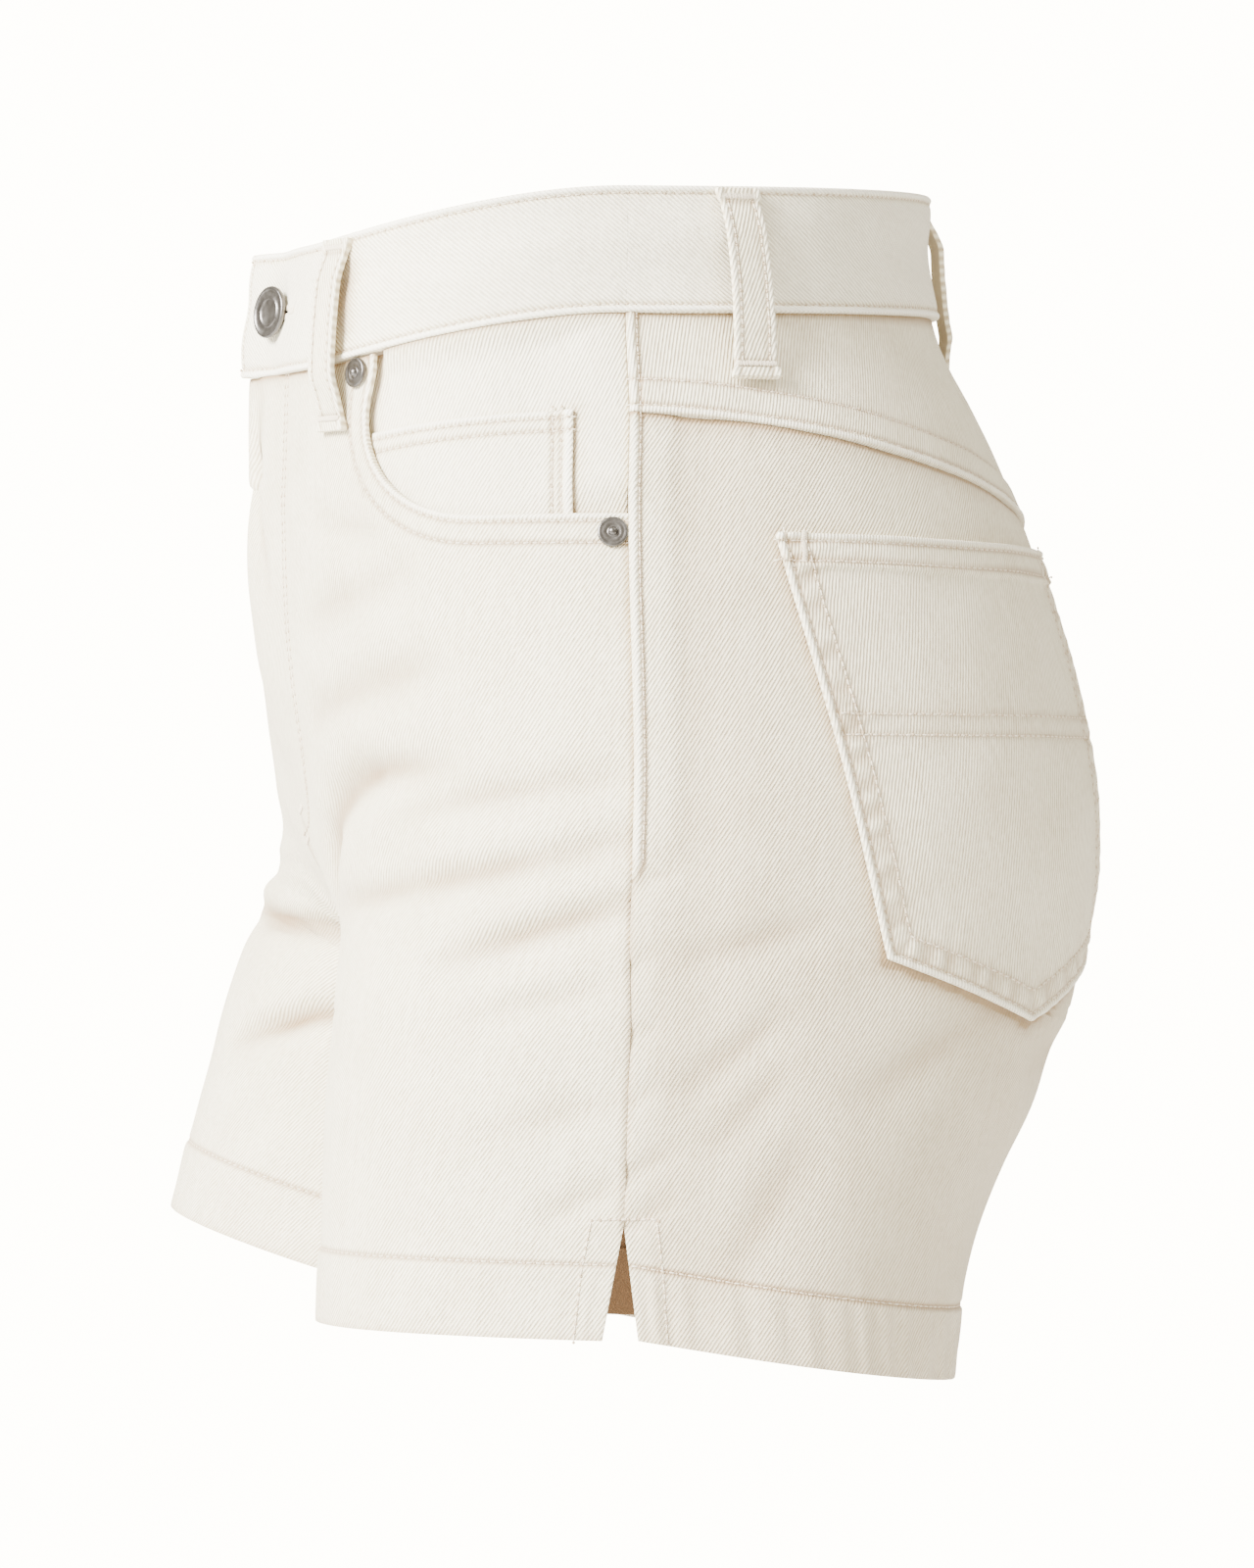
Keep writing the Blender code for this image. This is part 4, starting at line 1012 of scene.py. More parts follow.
def make_facing(side):
    columns = np.linspace(0.0, 1.0, 62)
    top = band_bottom("front", columns * FACING_REACH_ACROSS) - SEWN_GAP
    heights = top + (FACING_BOTTOM - top) * np.linspace(0.0, 1.0, 46)[:, None]
    near = panel_edge("front", heights)
    out = (near + (FACING_REACH_ACROSS - near) * columns[None]) * length_across("front", heights)
    # The facing's seams carry painted shade where the mouth, band, side seam and coin pocket shadow it
    seams = {
        "mouth": Seam(mouth_line(), shade=0.9),
        "band": Seam(band_edge("front", 0.0, FACING_REACH_ACROSS), shade=1.2),
        "side": Seam(edge_line(FACING_BOTTOM, BAND_TOP["side"] - BAND_HEIGHT), shade=0.4),
    }
    if side > 0:
        seams["coin pocket"] = Seam(coin_side(), shade=1.0)

    def lift_of(out, height):
        return unevenness(out, height, 3.0) - facing_depth(side, out / length_across("front", height), height)

    panel = FlatPiece("facing_" + side_name(side), side, "front", seams, lift_of)
    inner = lift_of(out, heights) - FACING_CLOTH
    panel.make("pocket_facing_" + side_name(side), out, heights, inner, 62.0, 0.3)


def make_coin_pocket():
    places = graded(0.0, COIN_WIDTH, 2.2, 0.0, STITCH_IN, 8.0, reach=2.6)
    top = COIN_TOP_SIDE + (COIN_TOP_FRONT - COIN_TOP_SIDE) * (places / COIN_WIDTH) ** 1.6
    drop = graded(0.0, COIN_DOWN, 2.2, 0.0, STITCH_IN, 8.0, reach=2.6)[:, None] / COIN_DOWN
    heights = top + (COIN_BOTTOM - top) * drop
    out = np.broadcast_to(COIN_SIDE + places, heights.shape)
    seams = {
        "top": Seam(np.stack([COIN_SIDE + places, top], axis=1)[::4], (2.2, 6.2), 0.42, 0.10),
        "side": Seam(coin_side(), (3.6, 6.6), 0.42, 0.08),
    }

    def depth_of(out, height):
        return facing_depth(+1, out / length_across("front", height), height)

    def lift_of(out, height):
        under = depth_of(out, height)
        return LAYER_GAP * 0.3 + COIN_CLOTH - under + relief(out, height, seams.values())

    panel = FlatPiece("coin_pocket", +1, "front", seams, lift_of)
    panel.make("coin_pocket", out, heights, 0.15 - depth_of(out, heights), 56.0, 0.25)
    panel.sew(*rows_of(seams["top"], -1), *rows_of(seams["side"], -1))


def pocket_point(share, down):
    """Distance from the side seam and height of a point of the back pocket."""
    share = np.asarray(share)[..., None]
    top, low = (edge[0] + (edge[1] - edge[0]) * share for edge in (POCKET_TOP, POCKET_LOW))
    point = 1 - np.abs(2 * share[..., 0] - 1)
    low = low - np.stack([0 * point, POCKET_POINT_DROP * point], axis=-1)
    return np.moveaxis(top + (low - top) * np.asarray(down)[..., None], -1, 0)


def pocket_line(share_from, share_to, down_from, down_to, count=14):
    share, down = np.linspace(share_from, share_to, count), np.linspace(down_from, down_to, count)
    return pocket_point(share, down).T


def pocket_outline():
    """Down the outer edge of the back pocket, along its point and up the inner edge."""
    return np.concatenate([
        pocket_line(0.0, 0.0, 0.0, 1.0), pocket_line(0.0, 0.5, 1.0, 1.0)[1:],
        pocket_line(0.5, 1.0, 1.0, 1.0)[1:], pocket_line(1.0, 1.0, 1.0, 0.0)[1:],
    ])


def drawn_in(outline, out, height):
    """The wave between the two rows along the pocket's edges, and how far it reaches."""
    away, along, _ = beside(outline, out, height)
    between = ease((away - STITCH_IN) / 2.0) * ease((9.5 - away) / 2.0)
    return waver(along, PUCKERED_PERIOD), between


def make_back_pocket(side):
    wide, deep, row = POCKET_WIDE, POCKET_DEEP, POCKET_SECOND_ROW
    beside_edges = (0.0, STITCH_IN, row, wide - STITCH_IN, wide - row, wide)
    shares = graded(0.0, wide, 2.0, *beside_edges, wide / 2, reach=2.6)
    downs = graded(
        0.0, deep, 2.0, 0.0, STITCH_IN, POCKET_HEM, *PLAIN_ROWS, deep - row, deep - STITCH_IN, deep, reach=2.6
    )
    out, heights = pocket_point(*np.meshgrid(shares / wide, downs / deep))
    outline, top = pocket_outline(), pocket_line(0.0, 1.0, 0.0, 0.0)
    corners = np.stack([pocket_point(*corner) for corner in ((0, 0), (0, 1), (0.5, 1), (1, 1), (1, 0))])
    inner = offset_line(corners, row)
    plain_rows = [
        np.linspace(pocket_point(0.0, down / deep), pocket_point(1.0, down / deep), 30) for down in PLAIN_ROWS
    ]
    seams = {
        "outline": Seam(outline, (STITCH_IN,), 0.48, 0.10),
        "inner": Seam(inner.copy(), pucker=0.28, edge=0.15, shade=0.35),
        "top": Seam(top, (STITCH_IN, 8.5), 0.42, 0.08),
        **{f"row {k}": Seam(line, pucker=0.04, edge=0.2, shade=0.35) for k, line in enumerate(plain_rows)},
    }

    def lift_of(out, height):
        lift = LAYER_GAP + POCKET_CLOTH + relief(out, height, seams.values())
        wave, between = drawn_in(outline, out, height)
        lift = lift + PUCKERED * wave * between + unevenness(out, height, 7.0 + side)
        return lift + PLY * ease((POCKET_HEM - beside(top, out, height)[0]) / 0.8)

    name = "back_pocket_" + side_name(side)
    wave, between = drawn_in(outline, out, heights)
    panel = FlatPiece(name, side, "back", seams, lift_of)
    # Painted shade in the troughs of the puckers between the rows
    tone = -0.4 * np.clip(0.5 - wave, 0.0, 1.0) * between
    panel.make(name, out, heights, 0.25, 82.0, tone)
    inner[[0, -1]] += (0.0, -STITCH_IN)
    panel.sew(offset_line(corners, STITCH_IN), inner, *rows_of(seams["top"], -1))
    panel.sew(*(line[1:-1] for line in plain_rows))
    for end in (inner[0], inner[-1]):
        panel.tack(end, end + (0.0, -POCKET_HEM + 2.0))


# Waistband and loops


def stitch_row(group, name, points_at, lift):
    """Keep a row of stitches, from the function that gives its points at a lift."""
    low, high = (np.array(points_at(lift + more)) for more in (0.0, 1.0))
    group.setdefault(name, []).append((low, high - low))


def band_places():
    """Side, face and share across of each of the band's columns, from its left end to its right."""
    front, back = float(length_across("front", 0.0)), float(length_across("back", 0.0))
    hole = BUTTONHOLE_MIDDLE + BUTTONHOLE_REACH
    end = graded(0.0, front, 2.6, 0.0, STITCH_IN, hole, hole - 4.0, reach=3.0)
    return [
        *((+1, "front", 1.0 - at / front) for at in end),
        *((+1, "back", at / back) for at in np.arange(2.6, back, 2.6)),
        *((-1, "back", 1.0 - at / back) for at in np.arange(0.0, back, 2.6)),
        *((-1, "front", at / front) for at in np.arange(0.0, front + UNDERLAP, 2.6)),
    ]


def band_lift(side, face, across, height):
    """The left end flares off the right one, which sinks in under it."""
    from_centre = (1.0 - across) * length_across("front", height)
    if face == "back":
        return np.zeros_like(from_centre)
    flared = 1 - ease(from_centre / BAND_LAP_RUN)
    if side > 0:
        return BAND_LAP_LIFT * flared
    sunk = -(UNDERLAP_SINK + UNDERLAP_LIFT) * ease(-from_centre / UNDERLAP_RUN)
    return UNDERLAP_LIFT * flared + sunk


def band_seams():
    """The band's two long edges, and its left end, on its own flat form."""
    low, high, end, top = (0.0, 0.0), (BAND_LINE, 0.0), (0.0, BAND_HEIGHT), (BAND_LINE, BAND_HEIGHT)
    lines = ((low, high, 0.55, 0.16), (end, top, 0.55, 0.16), (low, end, 0.35, 0.05))
    return [Seam(np.array([a, b]), (STITCH_IN,), roll, pucker) for a, b, roll, pucker in lines]


def in_buttonhole(along, rise):
    """1 in the slit that the button's shank stands in, and 0 on the cloth beside it."""
    lengthwise = ease(BUTTONHOLE_REACH + 0.5 - np.abs(along - BUTTONHOLE_MIDDLE))
    return lengthwise * ease((BUTTONHOLE_HALF + 0.6 - np.abs(rise - BAND_HEIGHT / 2)) / 0.6)


def band_relief(along, rise):
    """Rolls over the edges, grooves at the rows, and puckers between."""
    lift = relief(np.full_like(rise, along), rise, band_seams())
    ripple = 0.95 * np.sin(along / 31.0 + 0.9 * np.sin(rise / 9.0)) * np.sin(rise / 5.5 + along / 83.0)
    bulge = 0.3 * np.sin(math.pi * rise / BAND_HEIGHT) * (1 + 0.8 * waver(along, 61.0))
    return lift + ripple + bulge - 1.2 * in_buttonhole(along, rise)


def band_points(side, face, across, along, rise, more=0.0):
    """Points of the band's outer face at one place along it, and their heights."""
    own = np.where(across <= 1.0, across, 2.0 - across)
    height = band_bottom(face, own) + rise
    lift = band_lift(side, face, across, height) + BAND_PROUD + band_relief(along, rise) + more
    return spot(side, face, across, height, lift), height


def band_point(side, face, across, along, rise, more=0.0):
    return band_points(side, face, across, along, np.array([rise]), more)[0][0]


def make_band():
    fine = (0.0, STITCH_IN, BAND_HEIGHT / 2, BAND_HEIGHT - STITCH_IN, BAND_HEIGHT)
    rises = graded(0.0, BAND_HEIGHT, 2.4, *fine, reach=3.0)
    outer, inner, flat, tones, places, previous = [], [], [], [], [], None
    for side, face, across in band_places():
        middle = band_point(side, face, across, 0.0, BAND_HEIGHT / 2)
        along = 0.0 if previous is None else along + float(np.linalg.norm(middle - previous))
        previous = middle
        places.append((side, face, across, along))
        points, heights = band_points(side, face, across, along, rises)
        outer.append(points)
        inner.append(spot(side, face, across, heights, band_lift(side, face, across, heights) - CLOTH))
        flat_along = np.full_like(rises, along)
        flat.append(np.stack([flat_along, rises], axis=-1))
        # Painted shadow of the front loop on the band beside it
        past_loop = along - FRONT_LOOP_FROM_CENTRE - LOOP_WIDTH / 2
        shadow = bump(past_loop - 2.0, 5.5) * np.sin(math.pi * rises / BAND_HEIGHT)
        tone = toning(flat_along, rises, band_seams()) + BAND_TONE - 1.2 * shadow
        # Painted shade in the buttonhole's slit
        tones.append(tone - 2.0 * in_buttonhole(flat_along, rises))
    sew_piece(
        "waistband", "waistband", np.stack(outer), np.stack(inner), np.stack(flat), 139.0,
        np.stack(tones), round_off=0.7,
    )
    name = "stitches_waistband"
    for rise in (STITCH_IN, BAND_HEIGHT - STITCH_IN):
        stitch_row(SEWN, name, lambda more: [band_point(*place, rise, more) for place in places], 0.05)
    end = (+1, "front", 1.0 - STITCH_IN / float(length_across("front", 0.0)), STITCH_IN)
    ups = np.linspace(STITCH_IN, BAND_HEIGHT - STITCH_IN, 26)
    stitch_row(SEWN, name, lambda more: [band_point(*end, up, more) for up in ups], 0.05)


def make_loop(name, side, face, across, stand_off):
    """A strip sewn at the band's top and below it, which stands off between."""
    top = float(band_top(face, across)) - LOOP_BELOW_TOP
    seam = float(band_bottom(face, across))
    foot = seam - LOOP_BELOW_BAND
    runs = [np.linspace(0.0, 1.0, 44), np.linspace(0.0, 0.12, 14), np.linspace(0.86, 1.0, 14)]
    ribs = np.array([0.25, 0.5, 0.6, LOOP_ROW, 0.76, 0.88, 0.97, 1.0])
    ribs = np.concatenate([-ribs[::-1], [0.0], ribs])
    run, rib = np.meshgrid(np.unique(np.concatenate(runs)), ribs, indexing="ij")
    half = LOOP_WIDTH / 2
    length = float(length_across(face, top))

    def doubled(run):
        return np.maximum(ease((0.075 - run) / 0.03), ease((run - 0.935) / 0.03))

    def point(run, rib, more):
        height = top + (foot - top) * run
        stand = stand_off * ease(run / LOOP_RISE) * ease((LOOP_FOOT - run) / LOOP_RISE)
        leave = ease((height - seam + LOOP_LEAVES_BAND) / 9.0)
        seat = BAND_PROUD * leave + (PLY if face == "back" else 0.0) * (1 - leave)
        bow = LOOP_BOW[name.split("_")[0]] * np.sin(LOOP_BOW_TURN * run)
        shift = (bow + rib * half * (1.0 + 0.13 * doubled(run))) / length
        return spot(side, face, across + shift, height, LAYER_GAP + seat + stand + more)

    roll = 0.3 * roll_between((1 - np.abs(rib)) / (1 - LOOP_ROW)) ** 0.75
    thick = LOOP_THICK - 0.7 + roll - 0.25 * bump(np.abs(rib) - LOOP_ROW, 0.09)
    thick = thick + 0.5 * doubled(run)
    thick = thick - 0.25 * bump(run - 0.92, 0.012) + 0.08 * waver(run * 60, 7.0)
    flat = np.stack([rib * half * side, (1 - run) * (top - foot)], axis=-1)
    ends = bump(run - 0.075, 0.015) + bump(run - 0.92, 0.012)
    # Painted tone: the roll paler for wear and painted highlight, tan at the rows and turned ends for painted
    # shade
    tone = 1.2 * roll - 0.35 * bump(np.abs(rib) - LOOP_ROW, 0.12) - 0.5 * ends
    sew_piece(
        "loop_" + name, "belt_loop_" + name, point(run, rib, thick), point(run, rib, 0.0), flat,
        68.0, tone, round_off=0.55,
    )
    line = np.linspace(0.05, 0.95, 40)
    for rib in (-LOOP_ROW, LOOP_ROW):
        row = np.full_like(line, rib)
        stitch_row(SEWN, "stitches_loops", lambda more: point(line, row, more), LOOP_THICK - 0.75)
    line = np.linspace(-0.9, 0.9, 16)
    for run in (0.045, 0.935):
        row = np.full_like(line, run)
        stitch_row(TACKED, "tacks_loops", lambda more: point(row, line, more), LOOP_THICK - 0.3)


def make_loops():
    front = 1.0 - FRONT_LOOP_FROM_CENTRE / float(length_across("front", 0.0))
    back = SIDE_LOOP_FROM_SEAM / float(length_across("back", 0.0))
    for side in (+1, -1):
        make_loop("front_" + side_name(side), side, "front", front, LOOP_STAND)
        make_loop("side_" + side_name(side), side, "back", back, LOOP_STAND)
    make_loop("back", +1, "back", 1.0, BACK_LOOP_STAND)


# Metal: radius and height of each turn, from the middle of the top round to the foot

BUTTON_TURNS = np.array([
    (0.0, 3.15), (3.9, 3.15), (4.1, 3.22), (4.35, 3.45), (4.75, 3.5), (5.0, 3.35), (5.2, 3.2),
    (7.0, 3.25), (7.25, 3.4), (7.6, 3.62), (8.0, 3.6), (8.35, 3.35), (8.5, 2.9), (8.45, 2.4),
    (8.1, 1.9), (7.4, 1.6), (3.6, 1.3), (3.4, 0.7), (3.4, 0.3), (3.5, 0.0), (0.0, 0.0),
])
RIVET_TURNS = np.array([
    (0.0, 2.15), (0.6, 2.05), (1.1, 1.75), (1.4, 1.2), (1.5, 0.85), (1.9, 0.78), (2.4, 0.95),
    (2.9, 1.0), (3.3, 0.92), (3.6, 0.95), (4.1, 1.1), (4.5, 1.0), (4.75, 0.7), (4.8, 0.2),
    (4.7, 0.0), (0.0, 0.0),
])


def turned_metal(name, node, turns, steps, milled, seat, normal):
    """A turned piece, with fine milling on one of its rings, standing on its seat."""
    angles = np.arange(steps) * 2 * math.pi / steps
    vertices = [(0.0, 0.0, turns[0, 1])]
    for radius, height in turns[1:-1]:
        cut = 0.05 * (np.arange(steps) % 2) * (milled[0] < radius < milled[1])
        vertices += list(zip(radius * np.cos(angles), radius * np.sin(angles), height - cut))
    vertices.append((0.0, 0.0, turns[-1, 1]))
    faces, last = [], 1 + (len(turns) - 3) * steps
    for k in range(steps):
        follow = (k + 1) % steps
        faces.append((0, 1 + k, 1 + follow))
        for here in range(1, last, steps):
            below = here + steps
            faces.append((here + k, below + k, below + follow, here + follow))
        faces.append((last + k, len(vertices) - 1, last + follow))
    turn = np.array(Vector(normal).to_track_quat("Z", "Y").to_matrix())
    placed = np.array(vertices) @ turn.T + seat
    add_mesh(name, placed, faces, [finish_of("antique_nickel")], node)


def on_left_end(from_end, height):
    """A point of the band's outer face beside its left end, which flares."""
    across = 1.0 - from_end / float(length_across("front", height))
    lift = float(band_lift(+1, "front", across, height)) + BAND_PROUD
    return spot(+1, "front", across, height, lift)


def make_button():
    """The button stands on the flared end of the band, square to its slope but for its tilt."""
    height = BAND_TOP["front"] - BAND_HEIGHT / 2
    near, far = (
        on_left_end(BUTTON_FROM_END + reach, height) for reach in (-BUTTON_LEAN_REACH, BUTTON_LEAN_REACH)
    )
    seat = on_left_end(BUTTON_FROM_END, height)
    normal = np.cross(far - near, on_left_end(BUTTON_FROM_END, height + 1.0) - seat)
    normal /= np.linalg.norm(normal)
    normal = np.array(Matrix.Rotation(math.radians(BUTTON_TILT), 3, "Z") @ Vector(normal))
    seat = seat + BUTTON_GAP * normal
    turned_metal("nickel_button", "waist_button", BUTTON_TURNS, 96, (5.1, 7.3), seat, normal)


def make_rivets():
    for side in (+1, -1):
        for name, (across, height) in RIVET_PLACES.items():
            lift = float(fly_lift(side, across, height)) + LAYER_GAP - 0.15
            seat, above = (spot(side, "front", across, height, lift + more) for more in (0.0, 1.0))
            piece = f"rivet_{name}_{side_name(side)}"
            turned_metal("nickel_" + piece, piece, RIVET_TURNS, 48, (3.4, 4.3), seat, above - seat)


def make_buttonhole():
    """Close stitches round the open buttonhole, and the bar tack at its inner end."""
    turn = np.linspace(0.0, 2 * math.pi, 41)
    reach = BUTTONHOLE_REACH * np.sign(np.cos(turn)) * np.abs(np.cos(turn)) ** 0.4
    hole = BUTTONHOLE_MIDDLE + reach, BAND_HEIGHT / 2 + (BUTTONHOLE_HALF + 0.7) * np.sin(turn)
    end = BUTTONHOLE_MIDDLE + BUTTONHOLE_REACH
    bar = np.linspace(end + 0.6, end + 5.5, 12), np.full(12, BAND_HEIGHT / 2)
    front = float(length_across("front", 0.0))
    for row in (hole, bar):
        places = [(+1, "front", 1.0 - at / front, at, up) for at, up in zip(*row)]

        def points_at(more):
            return [band_point(*place, more) for place in places]

        stitch_row(TACKED, "tacks_buttonhole", points_at, 0.1)


# Trees of nodes


class Tree:
    """A tree's nodes, added one at a time with what feeds each."""

    def __init__(self, tree):
        self.tree = tree

    def add(self, kind, inputs=(), **settings):
        made = self.tree.nodes.new(kind)
        for key, value in settings.items():
            setattr(made, key, value)
        for key, value in dict(inputs).items():
            self.feed(made.inputs[key], value)
        return made

    def out(self, kind, inputs=(), output=0, **settings):
        return self.add(kind, inputs, **settings).outputs[output]

    def feed(self, socket, value):
        """A value, or a link, or one link from each of a list."""
        sources = value if isinstance(value, list) else [value]
        if not isinstance(sources[0], bpy.types.NodeSocket):
            socket.default_value = value
            return
        for source in sources:
            self.tree.links.new(source, socket)

    def math(self, operation, first, second=0.0, clamp=False):
        return self.out("ShaderNodeMath", {0: first, 1: second}, operation=operation, use_clamp=clamp)


THREAD_INPUTS = ("Pitch", "Length", "Thickness", "Hole", "Turn", "Unevenness", "Seed")


def thread_tree(thread, hole):
    """Stitches laid along every line of a mesh, each a small bead of thread, with a dark bead
    between two: painted shade in the needle's hole."""
    group = bpy.data.node_groups.new("stitches along lines", "GeometryNodeTree")
    sockets = [("Geometry", "INPUT"), *((name, "INPUT") for name in THREAD_INPUTS), ("Geometry", "OUTPUT")]
    for name, way in sockets:
        kind = {"Geometry": "Geometry", "Seed": "Int"}.get(name, "Float")
        group.interface.new_socket(name, in_out=way, socket_type="NodeSocket" + kind)
    tree = Tree(group)
    given = tree.add("NodeGroupInput").outputs
    curves = tree.out("GeometryNodeMeshToCurve", {"Mesh": given["Geometry"]})
    along = {"Curve": curves, "Length": given["Pitch"]}
    points = tree.add("GeometryNodeCurveToPoints", along, mode="LENGTH").outputs
    outward = tree.out(
        "GeometryNodeInputNamedAttribute", {"Name": "outward"}, "Attribute", data_type="FLOAT_VECTOR"
    )
    facing = tree.out(
        "FunctionNodeAxesToRotation", {"Primary Axis": points["Tangent"], "Secondary Axis": outward},
        primary_axis="X", secondary_axis="Z",
    )

    def chance(low, high):
        inputs = {"Min": low, "Max": high, "Seed": given["Seed"]}
        return tree.out("FunctionNodeRandomValue", inputs, 1, data_type="FLOAT")

    def size(**axes):
        return tree.out("ShaderNodeCombineXYZ", axes)

    uneven = tree.math("MULTIPLY", chance(-0.5, 0.5), given["Unevenness"])
    spin = tree.out("FunctionNodeEulerToRotation", {"Euler": size(Z=tree.math("ADD", uneven, given["Turn"]))})
    rotation = tree.out(
        "FunctionNodeRotateRotation", {"Rotation": facing, "Rotate By": spin}, rotation_space="LOCAL"
    )
    bead = tree.out("GeometryNodeMeshUVSphere", {"Segments": 6, "Rings": 4, "Radius": 0.5})
    thick = given["Thickness"]
    shapes = (
        (thread, {"Scale": size(X=given["Length"], Y=thick, Z=thick)}),
        (hole, {
            "Translation": size(X=tree.math("MULTIPLY", given["Pitch"], 0.5)),
            "Scale": size(X=given["Hole"], Y=given["Hole"], Z=thick),
        }),
    )
    parts = []
    for material, inputs in shapes:
        shaped = tree.out("GeometryNodeTransform", {"Geometry": bead, **inputs})
        parts.append(tree.out("GeometryNodeSetMaterial", {"Geometry": shaped, "Material": material}))
    stitch = tree.out("GeometryNodeJoinGeometry", {0: parts})
    laid = tree.out("GeometryNodeInstanceOnPoints", {
        "Points": points["Points"], "Instance": stitch, "Rotation": rotation, "Scale": chance(0.88, 1.12),
    })
    real = tree.out("GeometryNodeRealizeInstances", {"Geometry": laid})
    smooth = tree.out("GeometryNodeSetShadeSmooth", {"Geometry": real})
    tree.add("NodeGroupOutput", {"Geometry": smooth})
    return group


def make_thread(name, rows, tree, sizes):
    """A mesh of stitches along rows of points, from the tree of nodes."""
    points, outward = (np.concatenate([row[k] for row in rows]) for k in (0, 1))
    edges, start = [], 0
    for row, _ in rows:
        edges += [(start + k, start + k + 1) for k in range(len(row) - 1)]
        start += len(row)
    lines = bpy.data.meshes.new(name + "_lines")
    lines.from_pydata((points * METRES).tolist(), edges, [])
    attribute = lines.attributes.new("outward", "FLOAT_VECTOR", "POINT")
    attribute.data.foreach_set("vector", outward.astype(np.float32).ravel())
    holder = add_object(name + "_lines", lines)
    modifier = holder.modifiers.new("Stitches", "NODES")
    modifier.node_group = tree
    for item in tree.interface.items_tree:
        if item.in_out == "INPUT" and item.name in sizes:
            modifier[item.identifier] = sizes[item.name]
    graph = bpy.context.evaluated_depsgraph_get()
    mesh = bpy.data.meshes.new_from_object(holder.evaluated_get(graph), depsgraph=graph)
    mesh.name = name
    bpy.data.objects.remove(holder)
    bpy.data.meshes.remove(lines)
    made = add_object(name, mesh)
    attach(made, "root")


# Materials


class Recipe(Tree):
    """A material's nodes."""

    def __init__(self, name):
        self.material = bpy.data.materials.new(name)
        self.material.use_nodes = True
        super().__init__(self.material.node_tree)

    def place(self):
        return self.out("ShaderNodeTexCoord", output="Object")

    def weave(self):
        """The flat cloth's own places, in millimetres."""
        return self.placed(self.out("ShaderNodeUVMap", uv_map="weave"), (1000.0, 1000.0, 1000.0))

    def placed(self, source, scale, turned=0.0):
        turn = (0.0, 0.0, turned)
        return self.out("ShaderNodeMapping", {"Vector": source, "Scale": scale, "Rotation": turn})

    def noise(self, source, scale, detail=2.0, roughness=0.5):
        inputs = {"Vector": source, "Scale": scale, "Detail": detail, "Roughness": roughness}
        return self.out("ShaderNodeTexNoise", inputs)

    def centred(self, value, gain):
        return self.math("MULTIPLY", self.math("SUBTRACT", value, 0.5), gain)

    def mix(self, share, low, high):
        """Between two colours, which are sockets or plain."""
        low, high = (v if isinstance(v, bpy.types.NodeSocket) else (*v, 1.0) for v in (low, high))
        return self.out("ShaderNodeMix", {0: share, 6: low, 7: high}, 2, data_type="RGBA")

    def bump(self, strength, distance, height, **more):
        inputs = {"Strength": strength, "Distance": distance, "Height": height, **more}
        return self.out("ShaderNodeBump", inputs)

    def finish(self, colour, roughness, bump=None, **more):
        """The finished material. More inputs of its shader are named with _ for their spaces."""
        inputs = {"Base Color": colour, "Roughness": roughness, **more}
        if bump:
            inputs["Normal"] = bump
        shader = self.tree.nodes["Principled BSDF"]
        for key, value in inputs.items():
            self.feed(shader.inputs[key.replace("_", " ")], value)
        return self.material


RIB_TURN = math.radians(62)  # the twill's lines rise this steeply on the weave's own map


def twill(name, cloth):
    """Cream twill: ribs broken into yarns, slubs up and down, and a soft mottle."""
    recipe = Recipe(name)
    flat = recipe.weave()
    across_ribs = recipe.placed(flat, (1.0, 1.0, 1.0), -(math.pi / 2 + RIB_TURN))
    waves = {
        "Vector": across_ribs, "Scale": math.pi / 10 / (cloth.rib * 1000), "Distortion": 0.55,
        "Detail": 1.0, "Detail Scale": 0.6, "Detail Roughness": 0.5,
    }
    ribs = recipe.out(
        "ShaderNodeTexWave", waves, 1, wave_type="BANDS", bands_direction="X", wave_profile="SIN"
    )
    yarn = recipe.noise(recipe.placed(across_ribs, (1.0, 0.34, 1.0)), 1.0, 2.0, 0.6)
    slub = recipe.noise(recipe.placed(flat, (0.75, 0.03, 1.0)), 1.0, 2.0, 0.6)
    mottle = recipe.noise(flat, 0.045, 3.0, 0.55)
    fine = recipe.math("ADD", recipe.centred(ribs, 0.9), recipe.centred(yarn, 0.8))
    broad = recipe.math("ADD", recipe.centred(slub, 0.45), recipe.centred(mottle, 0.4))
    shade = recipe.math("ADD", recipe.math("ADD", fine, broad), 0.55, clamp=True)
    # The per-point tone paints rolls paler, for wear and painted highlight, and grooves, edges and creases
    # tan, for painted shade
    worn = recipe.out("ShaderNodeAttribute", output="Fac", attribute_name="worn")
    colour = recipe.mix(shade, cloth.deep, cloth.pale)
    colour = recipe.mix(recipe.math("MULTIPLY", worn, 0.9, clamp=True), colour, cloth.rubbed_and_highlit)
    colour = recipe.mix(recipe.math("MULTIPLY", worn, -1.0, clamp=True), colour, cloth.seam)
    height = recipe.math("ADD", recipe.math("MULTIPLY", ribs, 0.6), recipe.math("MULTIPLY", yarn, 0.9))
    crumple = recipe.bump(0.35, 0.0007, recipe.noise(flat, 0.16, 2.0, 0.5))
    rough = recipe.math("ADD", recipe.math("MULTIPLY", yarn, 0.2), 0.74)
    bump = recipe.bump(0.8, cloth.relief, height, Normal=crumple)
    return recipe.finish(colour, rough, bump, Sheen_Weight=0.12, Sheen_Roughness=0.5, Specular_IOR_Level=0.25)


